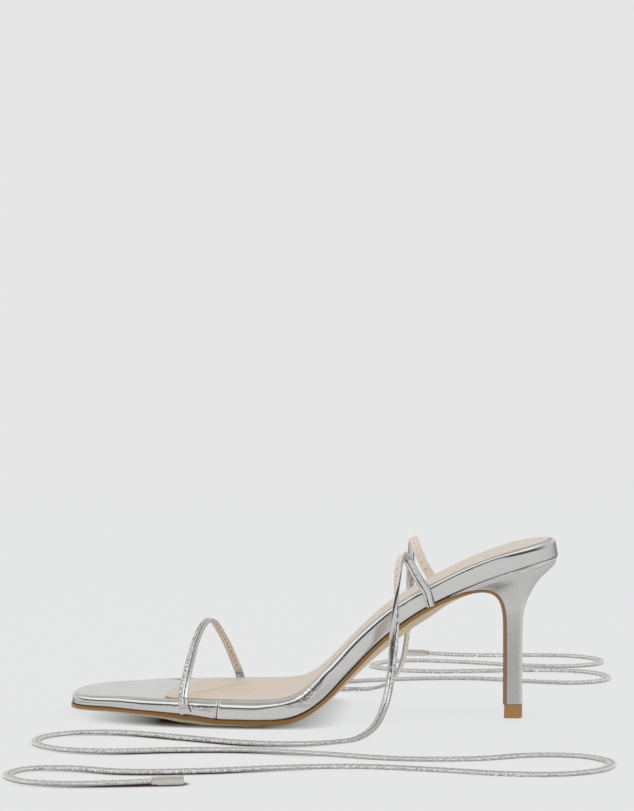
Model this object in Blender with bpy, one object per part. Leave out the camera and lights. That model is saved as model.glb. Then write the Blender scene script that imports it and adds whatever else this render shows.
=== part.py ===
"""Strappy heeled sandal for the right foot, standing empty on its sole with its ties undone.

The toe points to -X and the heel to +X, the medial side is -Y, and the floor is z = 0.
Tables are in millimetres and degrees, and meshes are made in metres.
The sole's line is worked out from its pitch along the feather line, the seam between the
wrapped footbed and the outsole. "along" is the distance from the toe on that line.
"""
import math

import bmesh
import bpy
import numpy as np

MM = 0.001
GAP = 0.3                  # clearance between curved pieces that touch on the real sandal
CENTRE = (0.54, 0.69, 0.0)  # middle of the sandal in the tables' frame, moved to the origin

# Sole: pitch of the feather line, thickness and edge roll of the footbed, half widths,
# edge thickness of the outsole and how far the middle of its underside bellies out
SOLE_COLUMNS = ("along", "pitch", "thickness", "roll", "medial", "lateral", "edge", "belly")
SOLE_SECTIONS = (
    (0.0, -1.0, 4.4, 1.5, 22.2, 20.6, 1.8, 0.0),
    (18.0, -1.0, 4.9, 2.0, 24.2, 23.8, 1.8, 0.1),
    (32.0, -1.4, 5.5, 2.4, 29.2, 29.2, 1.9, 0.2),
    (46.0, -2.2, 6.1, 2.8, 32.7, 32.9, 2.3, 0.4),
    (56.0, -3.8, 6.7, 3.2, 34.4, 34.9, 3.2, 1.0),
    (67.0, -6.8, 7.8, 3.6, 36.1, 36.6, 3.0, 1.0),
    (76.0, 0.0, 8.4, 3.8, 37.4, 38.0, 2.3, 0.6),
    (88.0, 0.0, 8.4, 3.8, 38.0, 39.0, 2.3, 0.5),
    (96.0, 0.0, 8.6, 3.6, 37.1, 39.3, 2.3, 0.6),
    (105.0, 11.5, 8.9, 3.2, 35.2, 39.0, 2.3, 0.6),
    (113.0, 27.5, 9.0, 2.7, 33.5, 38.4, 2.0, 0.5),
    (121.0, 39.5, 8.9, 2.2, 31.7, 37.4, 1.9, 0.8),
    (131.0, 47.4, 8.7, 1.8, 29.6, 35.9, 1.9, 1.4),
    (146.0, 46.6, 8.5, 1.6, 26.6, 32.7, 1.8, 2.35),
    (158.0, 43.0, 8.5, 1.5, 24.7, 30.1, 1.75, 3.2),
    (170.0, 37.2, 8.4, 1.5, 23.3, 27.7, 1.8, 3.65),
    (182.0, 32.0, 8.0, 1.5, 22.4, 25.7, 1.8, 3.7),
    (196.0, 26.6, 7.9, 1.5, 22.2, 24.6, 1.75, 2.0),
    (212.0, 22.6, 8.4, 1.5, 22.8, 24.6, 1.5, 1.0),
    (230.0, 17.5, 8.4, 1.5, 23.7, 24.7, 1.5, 0.6),
    (250.0, 10.0, 7.9, 1.5, 23.8, 24.4, 1.5, 0.6),
)
FEATHER_LENGTH = 250.0
BALL_ALONG = 86.6          # point of the feather line that is set by the next two sizes
BALL_X = -26.3
BALL_Z = 2.7
TOE_Y = -4.0               # foremost point of the toe, towards the medial side
TOE_MEDIAL = (16.0, 3.0)   # length and squareness of the toe's medial corner
TOE_LATERAL = (18.0, 1.9)  # the same for its lateral corner
HEEL_ROUND = 24.0          # length over which the heel end closes
WELT = 0.4                 # how far the outsole stands out from the band
WAIST_BELLY = 5.0          # squareness of the underside across the waist
TREAD_BELLY = 8.0          # and across the forefoot

# Outsole behind the waist: it leaves the footbed, and turns down the breast of the heel
BREAST_COLUMNS = ("along", "pitch", "medial", "lateral", "edge", "belly")
BREAST_FROM = 186.0
BREAST_SECTIONS = (
    (196.0, 23.0, 22.2, 24.2, 1.75, 2.0),
    (202.7, 16.0, 20.9, 22.2, 1.65, 1.3),
    (208.6, 7.0, 18.4, 19.0, 1.55, 0.7),
    (213.6, -7.0, 15.6, 15.9, 1.5, 0.4),
    (218.1, -29.0, 12.3, 12.5, 1.5, 0.2),
    (222.6, -56.0, 9.4, 9.4, 1.55, 0.1),
    (227.6, -76.0, 7.3, 7.3, 1.6, 0.0),
    (235.6, -88.0, 5.8, 5.8, 1.65, 0.0),
    (244.6, -90.0, 5.2, 5.2, 1.7, 0.0),
    (273.9, -90.0, 4.7, 4.7, 1.7, 0.0),
)

# Sock liner on the footbed
SOCK_FRONT = 46.5
SOCK_CORNERS = (4.0, 2.5)  # radius of its medial and lateral front corner
SOCK_SWEEP = 4.8           # how much further back its front edge ends on the lateral side
SOCK_SWEEP_REACH = 30.0
SOCK_THICKNESS = 0.9
SOCK_INSET = 0.7           # inside the edge roll
DISH_DEPTH = 1.0           # how far the footbed is dished inside its roll, under the sock
DISH_FROM = 36.0
DISH_FULL = 56.0

# Heel: each section runs from the breast to a point of the back line
HEEL_COLUMNS = ("breast", "back_x", "back_z", "medial", "lateral", "round", "camber")
HEEL_SECTIONS = (
    (273.9, 97.9, 6.6, 4.7, 4.7, 3.2, 0.0),
    (260.5, 97.7, 20.0, 4.7, 4.7, 3.2, 0.0),
    (244.6, 97.8, 36.0, 5.0, 5.0, 3.1, 0.0),
    (233.5, 98.2, 47.2, 5.9, 5.9, 3.0, 0.0),
    (228.4, 99.1, 52.0, 7.1, 7.1, 2.8, 0.0),
    (224.8, 100.4, 55.6, 8.7, 8.7, 2.6, 0.0),
    (221.0, 102.7, 60.2, 11.4, 11.5, 2.4, 0.05),
    (217.0, 105.9, 64.9, 14.6, 14.9, 2.2, 0.15),
    (212.5, 110.3, 69.2, 18.5, 19.1, 2.1, 0.4),
    (207.0, 113.1, 72.4, 21.2, 22.3, 2.0, 0.75),
    (202.6, 113.7, 75.0, 22.3, 23.7, 2.0, 1.0),
)
HEEL_STRAIGHT = 0.54       # share of each section before its sides turn in to the back
TOP_PIECE_FRONT = 89.5
TOP_PIECE_BACK = 97.9
TOP_PIECE_HALF = 4.9
TOP_PIECE_HEIGHT = 6.3

# Toe strap: its middle line over the foot, from the medial end to the lateral end
ARCH_COLUMNS = ("x", "y", "z", "width", "thickness")
ARCH_FOLDS = (
    (-54.9, -35.9, 4.4, 5.4, 1.3),
    (-55.8, -36.1, 8.0, 4.9, 1.4),
    (-56.2, -35.2, 12.6, 4.5, 1.6),
    (-55.5, -31.3, 20.4, 4.3, 1.7),
    (-54.2, -25.2, 28.4, 4.0, 1.7),
    (-52.8, -18.4, 36.0, 3.7, 1.7),
    (-51.2, -11.8, 41.2, 3.4, 1.7),
    (-49.1, -3.4, 43.9, 3.3, 1.7),
    (-47.3, 4.6, 41.9, 3.3, 1.7),
    (-45.7, 11.8, 37.0, 3.4, 1.7),
    (-43.6, 20.8, 29.7, 3.6, 1.7),
    (-41.4, 30.2, 20.4, 3.8, 1.7),
    (-39.6, 36.4, 12.8, 4.0, 1.6),
    (-39.0, 38.9, 7.8, 4.9, 1.4),
    (-38.4, 38.9, 3.6, 5.4, 1.3),
)

# Ties: routes of their middle lines, from the waist over the rim and down to the floor
TIE_WIDTH = 4.2
TIE_THICKNESS = 1.8
TIE_ROOT_THICKNESS = 1.4   # pressed flatter where it is lasted on the band
TIE_REST = 1.1             # height of the middle line of a tie that lies on the floor
TIE_POINTS = 94
TIE_STEP = 24.0            # longest step between points on a straight stretch
TIE_TURN = 0.36            # largest turn between them, in radians
TWIST_FROM = 44.0          # stretch of a tie in which it turns over, just below its bend
TWIST_TO = 88.0
MEDIAL_FALL = (
    (56.6, -23.4, 54.0), (55.5, -23.5, 57.6), (54.2, -23.8, 61.4), (50.8, -24.4, 67.0),
    (46.8, -27.9, 74.8), (44.6, -35.6, 78.8), (43.4, -43.4, 75.8), (42.7, -46.8, 67.6),
    (42.1, -48.4, 55.0), (41.3, -49.8, 41.0), (40.2, -51.8, 27.0), (38.0, -55.6, 14.6),
    (33.8, -62.4, 5.6), (27.0, -71.4, 1.6),
)
MEDIAL_FLOOR = (
    (18, -79), (1, -85), (-22, -84), (-50, -74), (-78, -65), (-99, -67), (-112, -79),
    (-112, -95), (-100, -107), (-78, -110), (-50, -104), (-20, -101), (14, -107), (48, -115),
    (80, -112), (106, -101), (126, -102), (137, -114), (134, -130), (120, -141), (97, -144),
    (66, -138), (34, -134), (2, -139), (-30, -149), (-62, -154), (-88, -149), (-104, -153),
    (-109, -166), (-101, -178), (-84, -182), (-62, -179), (-48, -176),
)
LATERAL_FALL = (
    (56.6, 26.6, 54.0), (55.5, 26.6, 57.6), (54.2, 26.8, 61.4), (50.8, 27.4, 67.0),
    (46.8, 30.9, 74.8), (44.6, 38.6, 78.8), (43.6, 46.4, 75.8), (42.9, 49.8, 67.6),
    (42.3, 51.4, 55.0), (41.5, 52.6, 41.0), (40.2, 54.2, 27.0), (37.4, 57.2, 14.6),
    (31.6, 61.6, 5.6), (22.4, 65.4, 1.6),
)
LATERAL_FLOOR = (
    (12, 66.5), (-10, 63), (-38, 56), (-66, 52), (-86, 52), (-98, 58), (-100, 70), (-90, 79),
    (-72, 82), (-48, 80), (-22, 81), (8, 90), (40, 102), (72, 106), (102, 99), (122, 97),
    (136, 106), (138, 122), (127, 134), (106, 137), (78, 132), (50, 127), (28, 131), (17, 143),
    (22, 157), (38, 164), (64, 161), (92, 153), (118, 152), (133, 161), (135, 176), (124, 187),
    (104, 190), (80, 187), (58, 186), (44, 187),
)

# Metal tie ends: size along the tie of each section, as shares of the full width and height
TIP_LENGTH = 13.0
TIP_WIDTH = 4.9
TIP_HEIGHT = 3.2
TIP_COLUMNS = ("along", "width", "height")
TIP_SECTIONS = (
    (0.0, 0.84, 0.78), (0.4, 0.92, 0.86), (2.2, 0.92, 0.86), (2.7, 1.0, 1.0),
    (12.0, 1.0, 1.0), (12.7, 0.94, 0.86), (13.0, 0.8, 0.62),
)


def column(rows, columns, name, at):
    """Smooth curve through one column of a table, without overshoot between its rows."""
    table = np.array(rows, float)
    knots = table[:, 0]
    values = table[:, columns.index(name)]
    step = np.diff(knots)
    slope = np.diff(values) / step
    tangent = np.zeros(len(knots))
    tangent[0] = slope[0]
    tangent[-1] = slope[-1]
    for i in range(1, len(knots) - 1):
        if slope[i - 1] * slope[i] > 0.0:
            near = 2.0 * step[i] + step[i - 1]
            far = step[i] + 2.0 * step[i - 1]
            tangent[i] = (near + far) / (near / slope[i - 1] + far / slope[i])
    at = np.atleast_1d(np.asarray(at, float))
    k = np.clip(np.searchsorted(knots, at, side="right") - 1, 0, len(knots) - 2)
    t = (at - knots[k]) / step[k]
    start = (2.0 * t**3 - 3.0 * t**2 + 1.0) * values[k]
    stop = (3.0 * t**2 - 2.0 * t**3) * values[k + 1]
    turn = (t**3 - 2.0 * t**2 + t) * tangent[k] + (t**3 - t**2) * tangent[k + 1]
    return start + stop + turn * step[k]


def line_from_pitch(rows, columns, at):
    """X, Z and pitch of a line whose pitch along itself is a table column."""
    fine = np.linspace(0.0, rows[-1][0], 4001)
    pitch = np.radians(column(rows, columns, "pitch", fine))
    middle = 0.5 * (pitch[1:] + pitch[:-1])
    step = np.diff(fine)
    x = np.concatenate([[0.0], np.cumsum(step * np.cos(middle))])
    z = np.concatenate([[0.0], np.cumsum(step * np.sin(middle))])
    x += BALL_X - np.interp(BALL_ALONG, fine, x)
    z += BALL_Z - np.interp(BALL_ALONG, fine, z)
    return np.interp(at, fine, x), np.interp(at, fine, z), np.interp(at, fine, pitch)


def sole_value(name, at):
    """One value of the sole's table at a distance along the feather line."""
    return column(SOLE_SECTIONS, SOLE_COLUMNS, name, at)


def on_sole(along, y, height):
    """Points over the feather line: height is measured square to the line."""
    x, z, pitch = line_from_pitch(SOLE_SECTIONS, SOLE_COLUMNS, along)
    return np.stack([x - height * np.sin(pitch), y, z + height * np.cos(pitch)], axis=1)


def corner(distance, length, power):
    """Share of the full half width at a distance from the end of a rounded outline."""
    left = np.clip(1.0 - distance / length, 0.0, 1.0)
    return (1.0 - left**power) ** (1.0 / power)


def half_outline(along):
    """Medial and lateral edge of the sole at distances along the feather line."""
    closing = corner(FEATHER_LENGTH - along, HEEL_ROUND, 2.0)
    medial = TOE_Y - (sole_value("medial", along) + TOE_Y) * corner(along, *TOE_MEDIAL)
    lateral = TOE_Y + (sole_value("lateral", along) - TOE_Y) * corner(along, *TOE_LATERAL)
    return medial * closing, lateral * closing


def sole_stations():
    """Distances along the feather line: close together at both round ends and in the bend."""
    round_end = 1.0 - np.sin(np.linspace(0.0, 0.5 * math.pi, 9))
    toe = TOE_LATERAL[0] * round_end[::-1]
    front = np.linspace(TOE_LATERAL[0], 96.0, 12)
    bend = np.linspace(96.0, 136.0, 12)
    waist = np.linspace(136.0, FEATHER_LENGTH - HEEL_ROUND, 14)
    heel = FEATHER_LENGTH - HEEL_ROUND * round_end
    return np.concatenate([toe[:-1], front[:-1], bend[:-1], waist[:-1], heel])


def inset_outline(outline, inset):
    """A closed outline moved inwards, by one distance or by one for each point."""
    ahead = np.roll(outline, -1, axis=0) - np.roll(outline, 1, axis=0)
    ahead /= np.linalg.norm(ahead, axis=1)[:, None]
    inward = np.stack([-ahead[:, 1], ahead[:, 0]], axis=1)
    return outline + inward * np.reshape(inset, (-1, 1))


def sole_outline(stations):
    """Closed plan of the sole: toe, medial side, heel, then the lateral side back to the toe."""
    medial, lateral = half_outline(stations)
    out = np.stack([stations, medial], axis=1)
    back = np.stack([stations[1:-1], lateral[1:-1]], axis=1)[::-1]
    return np.concatenate([out, back])


def make_object(name, points, faces, material, flat_angle=32.0):
    """One named object from points in millimetres, with outward faces."""
    mesh = bpy.data.meshes.new(name)
    shape = bmesh.new()
    moved = (np.asarray(points, float) - np.array(CENTRE)) * MM
    made = [shape.verts.new(p) for p in moved]
    for face in faces:
        shape.faces.new([made[i] for i in face])
    bmesh.ops.recalc_face_normals(shape, faces=shape.faces)
    bmesh.ops.triangulate(shape, faces=[f for f in shape.faces if len(f.verts) > 3])
    shape.to_mesh(mesh)
    shape.free()
    mesh.shade_smooth()
    mesh.set_sharp_from_angle(angle=math.radians(flat_angle))
    mesh.materials.append(material)
    made_object = bpy.data.objects.new(name, mesh)
    bpy.context.scene.collection.objects.link(made_object)
    return made_object


def wall_faces(rings, size):
    """Quads between neighbouring rings of one size."""
    faces = []
    for r in range(rings - 1):
        for i in range(size):
            j = (i + 1) % size
            faces.append((r * size + i, r * size + j, r * size + size + j, r * size + size + i))
    return faces


def paired_cap(first, size, tip):
    """Strips across a ring between points that face each other.

    With a tip the ring starts on its end point, and without one on a corner.
    """
    faces = []
    left = 0
    right = size if tip else size - 1
    while right - left > 1:
        ring = [left, left + 1, right - 1, right]
        kept = []
        for i in ring:
            if i % size not in kept:
                kept.append(i % size)
        if len(kept) > 2:
            faces.append(tuple(first + i for i in kept))
        left += 1
        right -= 1
    return faces


def stacked_solid(name, rings, material, tip):
    """Solid of stacked closed outlines, closed above and below by strips."""
    size = len(rings[0])
    faces = wall_faces(len(rings), size)
    faces += paired_cap(0, size, tip)
    faces += paired_cap((len(rings) - 1) * size, size, tip)
    return make_object(name, np.concatenate(rings), faces, material)


def swept_solid(name, rings, material):
    """Solid of sections along a line, closed by its first and last section."""
    size = len(rings[0])
    faces = wall_faces(len(rings), size)
    faces.append(tuple(range(size)))
    faces.append(tuple((len(rings) - 1) * size + i for i in range(size)))
    return make_object(name, np.concatenate(rings), faces, material)


def make_material(name, colour, roughness, metallic):
    """Principled material from an sRGB hex colour."""
    channels = [int(colour[i:i + 2], 16) / 255.0 for i in (1, 3, 5)]
    linear = [c / 12.92 if c <= 0.04045 else ((c + 0.055) / 1.055) ** 2.4 for c in channels]
    material = bpy.data.materials.new(name)
    material.use_nodes = True
    shader = material.node_tree.nodes["Principled BSDF"]
    shader.inputs["Base Color"].default_value = (*linear, 1.0)
    shader.inputs["Roughness"].default_value = roughness
    shader.inputs["Metallic"].default_value = metallic
    return material


def footbed_dish(along):
    """Depth of the footbed's dish: none at the toes, full under the foot."""
    share = np.clip((along - DISH_FROM) / (DISH_FULL - DISH_FROM), 0.0, 1.0)
    return DISH_DEPTH * share**2 * (3.0 - 2.0 * share)


def make_footbed(material):
    """Wrapped footbed: rolled lower edge, upright side, round roll and a dished top."""
    outline = sole_outline(sole_stations())
    thick = sole_value("thickness", outline[:, 0])
    roll = sole_value("roll", outline[:, 0])
    zero = np.zeros(len(outline))
    levels = [(zero + 0.8, zero), (zero + 0.2, zero + 0.5), (zero, zero + 1.3)]
    for angle in np.radians((0.0, 30.0, 60.0, 90.0)):
        levels.append((roll * (1.0 - math.cos(angle)), thick - roll * (1.0 - math.sin(angle))))
    levels.append((roll + 0.35, thick - footbed_dish(outline[:, 0])))
    rings = []
    for inset, height in levels:
        moved = inset_outline(outline, inset)
        rings.append(on_sole(moved[:, 0], moved[:, 1], height))
    return stacked_solid("footbed", rings, material, tip=True)


def make_sock(material):
    """Sock liner: a sheet inside the edge roll, with a front that sweeps back to the lateral side."""
    stations = sole_stations()
    outline = sole_outline(stations)
    inside = inset_outline(outline, sole_value("roll", outline[:, 0]) + SOCK_INSET)
    turn = np.radians(np.linspace(90.0, 0.0, 5))
    sides = []
    for edge, radius in ((inside[1:len(stations)], SOCK_CORNERS[0]), (inside[len(stations):][::-1], SOCK_CORNERS[1])):
        front = SOCK_FRONT + radius * (1.0 - np.sin(turn))
        y = np.interp(front, edge[:, 0], edge[:, 1])
        y -= np.sign(y) * radius * (1.0 - np.cos(turn))
        sides.append(np.concatenate([np.stack([front, y], axis=1), edge[edge[:, 0] > SOCK_FRONT + radius]]))
    plan = np.concatenate([sides[0], sides[1][::-1]])
    share = np.clip((plan[:, 1] - plan[0, 1]) / (plan[-1, 1] - plan[0, 1]), 0.0, 1.0)
    left = np.clip(1.0 - (plan[:, 0] - SOCK_FRONT) / SOCK_SWEEP_REACH, 0.0, 1.0)
    plan[:, 0] += SOCK_SWEEP * share**1.5 * left
    rings = []
    for inset, height in ((0.0, GAP), (0.0, GAP + 0.6), (0.4, GAP + SOCK_THICKNESS)):
        moved = inset_outline(plan, inset)
        top = sole_value("thickness", moved[:, 0]) - footbed_dish(moved[:, 0])
        rings.append(on_sole(moved[:, 0], moved[:, 1], top + height))
    return stacked_solid("sock_liner", rings, material, tip=False)


def outsole_table():
    """The sole's rows up to the waist, followed by those of the breast."""
    rows = []
    for row in SOLE_SECTIONS:
        if row[0] < BREAST_FROM:
            named = dict(zip(SOLE_COLUMNS, row))
            rows.append(tuple(named[name] for name in BREAST_COLUMNS))
    return tuple(rows) + BREAST_SECTIONS


def on_breast(along, y, height):
    """Points over the outsole's own upper line, which lies a gap under the footbed."""
    x, z, pitch = line_from_pitch(outsole_table(), BREAST_COLUMNS, along)
    up = height - GAP
    return np.stack([x - up * np.sin(pitch), y, z + up * np.cos(pitch)], axis=1)


def make_outsole(material):
    """Outsole: flat above, thin at its edge, bellied below and cut flat where it stands."""
    rows = outsole_table()
    shared = sole_stations()
    shared = shared[shared < BREAST_FROM]
    stations = np.concatenate([shared, np.arange(188.0, 240.0, 2.0), (250.0, 262.0, rows[-1][0])])
    medial, lateral = half_outline(np.minimum(stations, BREAST_FROM))
    behind = stations >= BREAST_FROM
    medial[behind] = -column(rows, BREAST_COLUMNS, "medial", stations[behind])
    lateral[behind] = column(rows, BREAST_COLUMNS, "lateral", stations[behind])
    fade = np.clip((218.0 - stations) / 30.0, 0.0, 1.0)
    ends = inset_outline(np.concatenate([
        np.stack([stations, medial], axis=1), np.stack([stations, lateral], axis=1)[::-1],
    ]), np.concatenate([-WELT * fade, -WELT * fade[::-1]]))
    edge = column(rows, BREAST_COLUMNS, "edge", stations)
    belly = column(rows, BREAST_COLUMNS, "belly", stations)
    flat = np.clip((115.0 - stations) / 25.0, 0.0, 1.0)
    rings = []
    count = len(stations)
    for i in range(count):
        near = ends[i]
        far = ends[2 * count - 1 - i]
        across = np.array((0.0, 1.0, 1.0, 0.93, 0.8, 0.5, 0.2, 0.07, 0.0))
        side = 2.0 * across - 1.0
        reach = np.abs(side)
        arched = (1.0 - reach**WAIST_BELLY) * (1.0 - flat[i]) + (1.0 - reach**TREAD_BELLY) * flat[i]
        depth = edge[i] + belly[i] * arched
        depth[:2] = 0.0
        along = near[0] + (far[0] - near[0]) * across
        y = near[1] + (far[1] - near[1]) * across
        ring = on_breast(along, y, -depth)
        ring[:, 2] = np.maximum(ring[:, 2], 0.0)
        rings.append(ring)
    return swept_solid("outsole", rings, material)


def make_heel(material):
    """Heel: sections fan out from the slim stem to the seat, straight at the breast."""
    rows = np.array(HEEL_SECTIONS, float)
    level = np.arange(len(rows), dtype=float)
    table = np.concatenate([level[:, None], rows], axis=1)
    columns = ("level",) + HEEL_COLUMNS
    fine = np.concatenate([level[:3], np.arange(3.0, len(rows) - 0.75, 0.5)])
    value = {name: column(table, columns, name, fine) for name in HEEL_COLUMNS}
    turn = np.radians(np.arange(15.0, 91.0, 15.0))
    straight = np.linspace(0.0, HEEL_STRAIGHT, 5)
    share = np.concatenate([straight, HEEL_STRAIGHT + (1.0 - HEEL_STRAIGHT) * np.sin(turn)])
    seat_from = HEEL_SECTIONS[-1][0]
    seat_to = FEATHER_LENGTH - 0.6
    seat = on_sole(seat_from + (seat_to - seat_from) * share, np.zeros(len(share)), -GAP)
    chord = seat[0] + (seat[-1] - seat[0]) * share[:, None]
    rings = []
    for i in range(len(fine)):
        front = on_breast(value["breast"][i:i + 1], np.zeros(1), GAP)[0]
        back = np.array((value["back_x"][i], 0.0, value["back_z"][i]))
        line = front + (back - front) * share[:, None]
        line += (seat - chord) * value["camber"][i]
        if i == len(fine) - 1:
            line = seat
        power = value["round"][i]
        inward = np.clip((share - HEEL_STRAIGHT) / (1.0 - HEEL_STRAIGHT), 0.0, 1.0)
        keep = (1.0 - inward**power) ** (1.0 / power)
        medial = line.copy()
        medial[:, 1] = -value["medial"][i] * keep
        lateral = line.copy()
        lateral[:, 1] = value["lateral"][i] * keep
        rings.append(np.concatenate([medial, lateral[:-1][::-1]]))
    size = len(rings[0])
    faces = wall_faces(len(rings), size)
    for first in (0, (len(rings) - 1) * size):
        last = first + size - 1
        half = size // 2
        for k in range(half - 1):
            faces.append((first + k, first + k + 1, last - k - 1, last - k))
        faces.append((first + half - 1, first + half, first + half + 1))
    return make_object("heel", np.concatenate(rings), faces, material)


def make_top_piece(material):
    """Top piece: a flat block with the stem's outline, round at the back corners."""
    turn = np.radians(np.arange(0.0, 91.0, 15.0))
    straight = TOP_PIECE_FRONT + (TOP_PIECE_BACK - TOP_PIECE_FRONT) * HEEL_STRAIGHT
    x = np.concatenate([[TOP_PIECE_FRONT], straight + (TOP_PIECE_BACK - straight) * np.sin(turn)])
    keep = np.concatenate([[1.0], (1.0 - np.sin(turn) ** 3.2) ** (1.0 / 3.2)])
    near = np.stack([x, -TOP_PIECE_HALF * keep], axis=1)
    far = np.stack([x, TOP_PIECE_HALF * keep], axis=1)[:-1][::-1]
    plan = np.concatenate([near, far])
    rings = []
    for z in (0.0, TOP_PIECE_HEIGHT):
        rings.append(np.concatenate([plan, np.full((len(plan), 1), z)], axis=1))
    return swept_solid("top_piece", rings, material)


def smooth_route(points):
    """Dense curve through route points, and the distance along it."""
    p = np.array(points, float)
    knots = np.concatenate([[0.0], np.cumsum(np.linalg.norm(np.diff(p, axis=0), axis=1) ** 0.5)])
    tangent = np.zeros_like(p)
    for i in range(1, len(p) - 1):
        before = knots[i] - knots[i - 1]
        after = knots[i + 1] - knots[i]
        one = (p[i] - p[i - 1]) / before
        two = (p[i + 1] - p[i]) / after
        tangent[i] = (one * after + two * before) / (before + after)
    tangent[0] = 2.0 * (p[1] - p[0]) / (knots[1] - knots[0]) - tangent[1]
    tangent[-1] = 2.0 * (p[-1] - p[-2]) / (knots[-1] - knots[-2]) - tangent[-2]
    pieces = []
    for i in range(len(p) - 1):
        h = knots[i + 1] - knots[i]
        t = np.linspace(0.0, 1.0, 40, endpoint=False)[:, None]
        start = (2.0 * t**3 - 3.0 * t**2 + 1.0) * p[i]
        stop = (3.0 * t**2 - 2.0 * t**3) * p[i + 1]
        pieces.append(start + stop + h * ((t**3 - 2.0 * t**2 + t) * tangent[i] + (t**3 - t**2) * tangent[i + 1]))
    line = np.concatenate(pieces + [p[-1:]])
    along = np.concatenate([[0.0], np.cumsum(np.linalg.norm(np.diff(line, axis=0), axis=1))])
    return line, along


def directions(line):
    """Unit direction of a line at each of its points."""
    ahead = np.gradient(line, axis=0)
    return ahead / np.linalg.norm(ahead, axis=1)[:, None]


def strap_rings(line, face, width, thickness):
    """Flat sections with softened edges, along a line with a facing direction at each point."""
    ahead = directions(line)
    face = face - ahead * np.sum(face * ahead, axis=1)[:, None]
    face /= np.linalg.norm(face, axis=1)[:, None]
    across = np.cross(ahead, face)
    corners = ((-0.5, -0.22), (-0.38, -0.5), (0.38, -0.5), (0.5, -0.22),
               (0.5, 0.22), (0.38, 0.5), (-0.38, 0.5), (-0.5, 0.22))
    width = np.broadcast_to(width, len(line))
    thickness = np.broadcast_to(thickness, len(line))
    rings = []
    for i in range(len(line)):
        rings.append(np.array([
            line[i] + across[i] * u * width[i] + face[i] * v * thickness[i] for u, v in corners
        ]))
    return rings


def make_toe_strap(material):
    """Toe strap: arched over the foot, with both ends lasted down the outside of the band."""
    table = np.array(ARCH_FOLDS)
    line, along = smooth_route(table[:, :3])
    at = np.linspace(0.0, along[-1], 37)
    spots = np.stack([np.interp(at, along, line[:, k]) for k in range(3)], axis=1)
    marks = along[::40]
    width = np.interp(at, marks, table[:, ARCH_COLUMNS.index("width")])
    thickness = np.interp(at, marks, table[:, ARCH_COLUMNS.index("thickness")])
    outward = spots - np.array((0.0, 1.0, 12.0))
    outward[:, 0] = 0.0
    low = np.clip((14.0 - spots[:, 2]) / 4.0, 0.0, 1.0)
    outward[:, 2] *= 1.0 - low
    return swept_solid("toe_strap", strap_rings(spots, outward, width, thickness), material)


def carried_faces(line, first):
    """A facing direction carried along a line without turning about it."""
    ahead = directions(line)
    faces = [first - ahead[0] * np.dot(first, ahead[0])]
    for i in range(1, len(line)):
        moved = faces[-1] - ahead[i] * np.dot(faces[-1], ahead[i])
        faces.append(moved / np.linalg.norm(moved))
    faces[0] = faces[0] / np.linalg.norm(faces[0])
    return np.array(faces)


def tie_twist(at):
    """Share of a tie's half turn that is done at distances along it."""
    share = np.clip((at - TWIST_FROM) / (TWIST_TO - TWIST_FROM), 0.0, 1.0)
    return share**2 * (3.0 - 2.0 * share)


def tie_line(fall, floor):
    """Points of a tie's middle line, closer together where it bends or turns over."""
    heights = [TIE_REST] * (len(floor) - 2) + [TIE_REST + 0.2, 0.5 * TIP_HEIGHT + 0.15]
    route = list(fall) + [(x, y, z) for (x, y), z in zip(floor, heights)]
    line, along = smooth_route(route)
    hang = along[40 * len(fall)]
    ahead = directions(line)
    turned = np.linalg.norm(np.diff(ahead, axis=0), axis=1) + math.pi * np.diff(tie_twist(along))
    effort = np.concatenate([[0.0], np.cumsum(np.diff(along) / TIE_STEP + turned / TIE_TURN)])
    at = np.interp(np.linspace(0.0, effort[-1], TIE_POINTS), effort, along)
    spots = np.stack([np.interp(at, along, line[:, k]) for k in range(3)], axis=1)
    return spots, at, hang


def make_tie(name, fall, floor, side, material):
    """Tie: stands out from the band, falls outwards, turns over once and lies on the floor."""
    spots, at, hang = tie_line(fall, floor)
    face = carried_faces(spots, np.array((0.0, side, 0.0)))
    ahead = directions(spots)
    landed = int(np.searchsorted(at, hang))
    up = np.array((0.0, 0.0, 1.0))
    other = np.cross(ahead[landed], face[landed])
    needed = math.atan2(np.dot(up, other), np.dot(up, face[landed]))
    angle = needed * tie_twist(at)
    turned = face * np.cos(angle)[:, None] + np.cross(ahead, face) * np.sin(angle)[:, None]
    turned[at >= hang] = up
    root = np.clip((at - 6.0) / 8.0, 0.0, 1.0)
    thickness = TIE_ROOT_THICKNESS + (TIE_THICKNESS - TIE_ROOT_THICKNESS) * root
    return swept_solid(name, strap_rings(spots, turned, TIE_WIDTH, thickness), material)


def make_tie_end(name, fall, floor, material):
    """Metal end: a plain bar with a narrower crimped neck, in line with the end of its tie."""
    spots, at, hang = tie_line(fall, floor)
    ahead = directions(spots)[-1]
    ahead[2] = 0.0
    ahead /= np.linalg.norm(ahead)
    across = np.array((-ahead[1], ahead[0], 0.0))
    corners = ((-0.5, -0.36), (-0.4, -0.5), (0.4, -0.5), (0.5, -0.36),
               (0.5, 0.36), (0.4, 0.5), (-0.4, 0.5), (-0.5, 0.36))
    mouth = spots[-1] + ahead * GAP
    mouth[2] = 0.5 * TIP_HEIGHT + 0.15
    rings = []
    for along, wide, high in TIP_SECTIONS:
        middle = mouth + ahead * along
        rings.append(np.array([
            middle + across * u * TIP_WIDTH * wide + np.array((0.0, 0.0, v * TIP_HEIGHT * high))
            for u, v in corners
        ]))
    return swept_solid(name, rings, material)


for old in list(bpy.data.objects):
    bpy.data.objects.remove(old)

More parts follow.
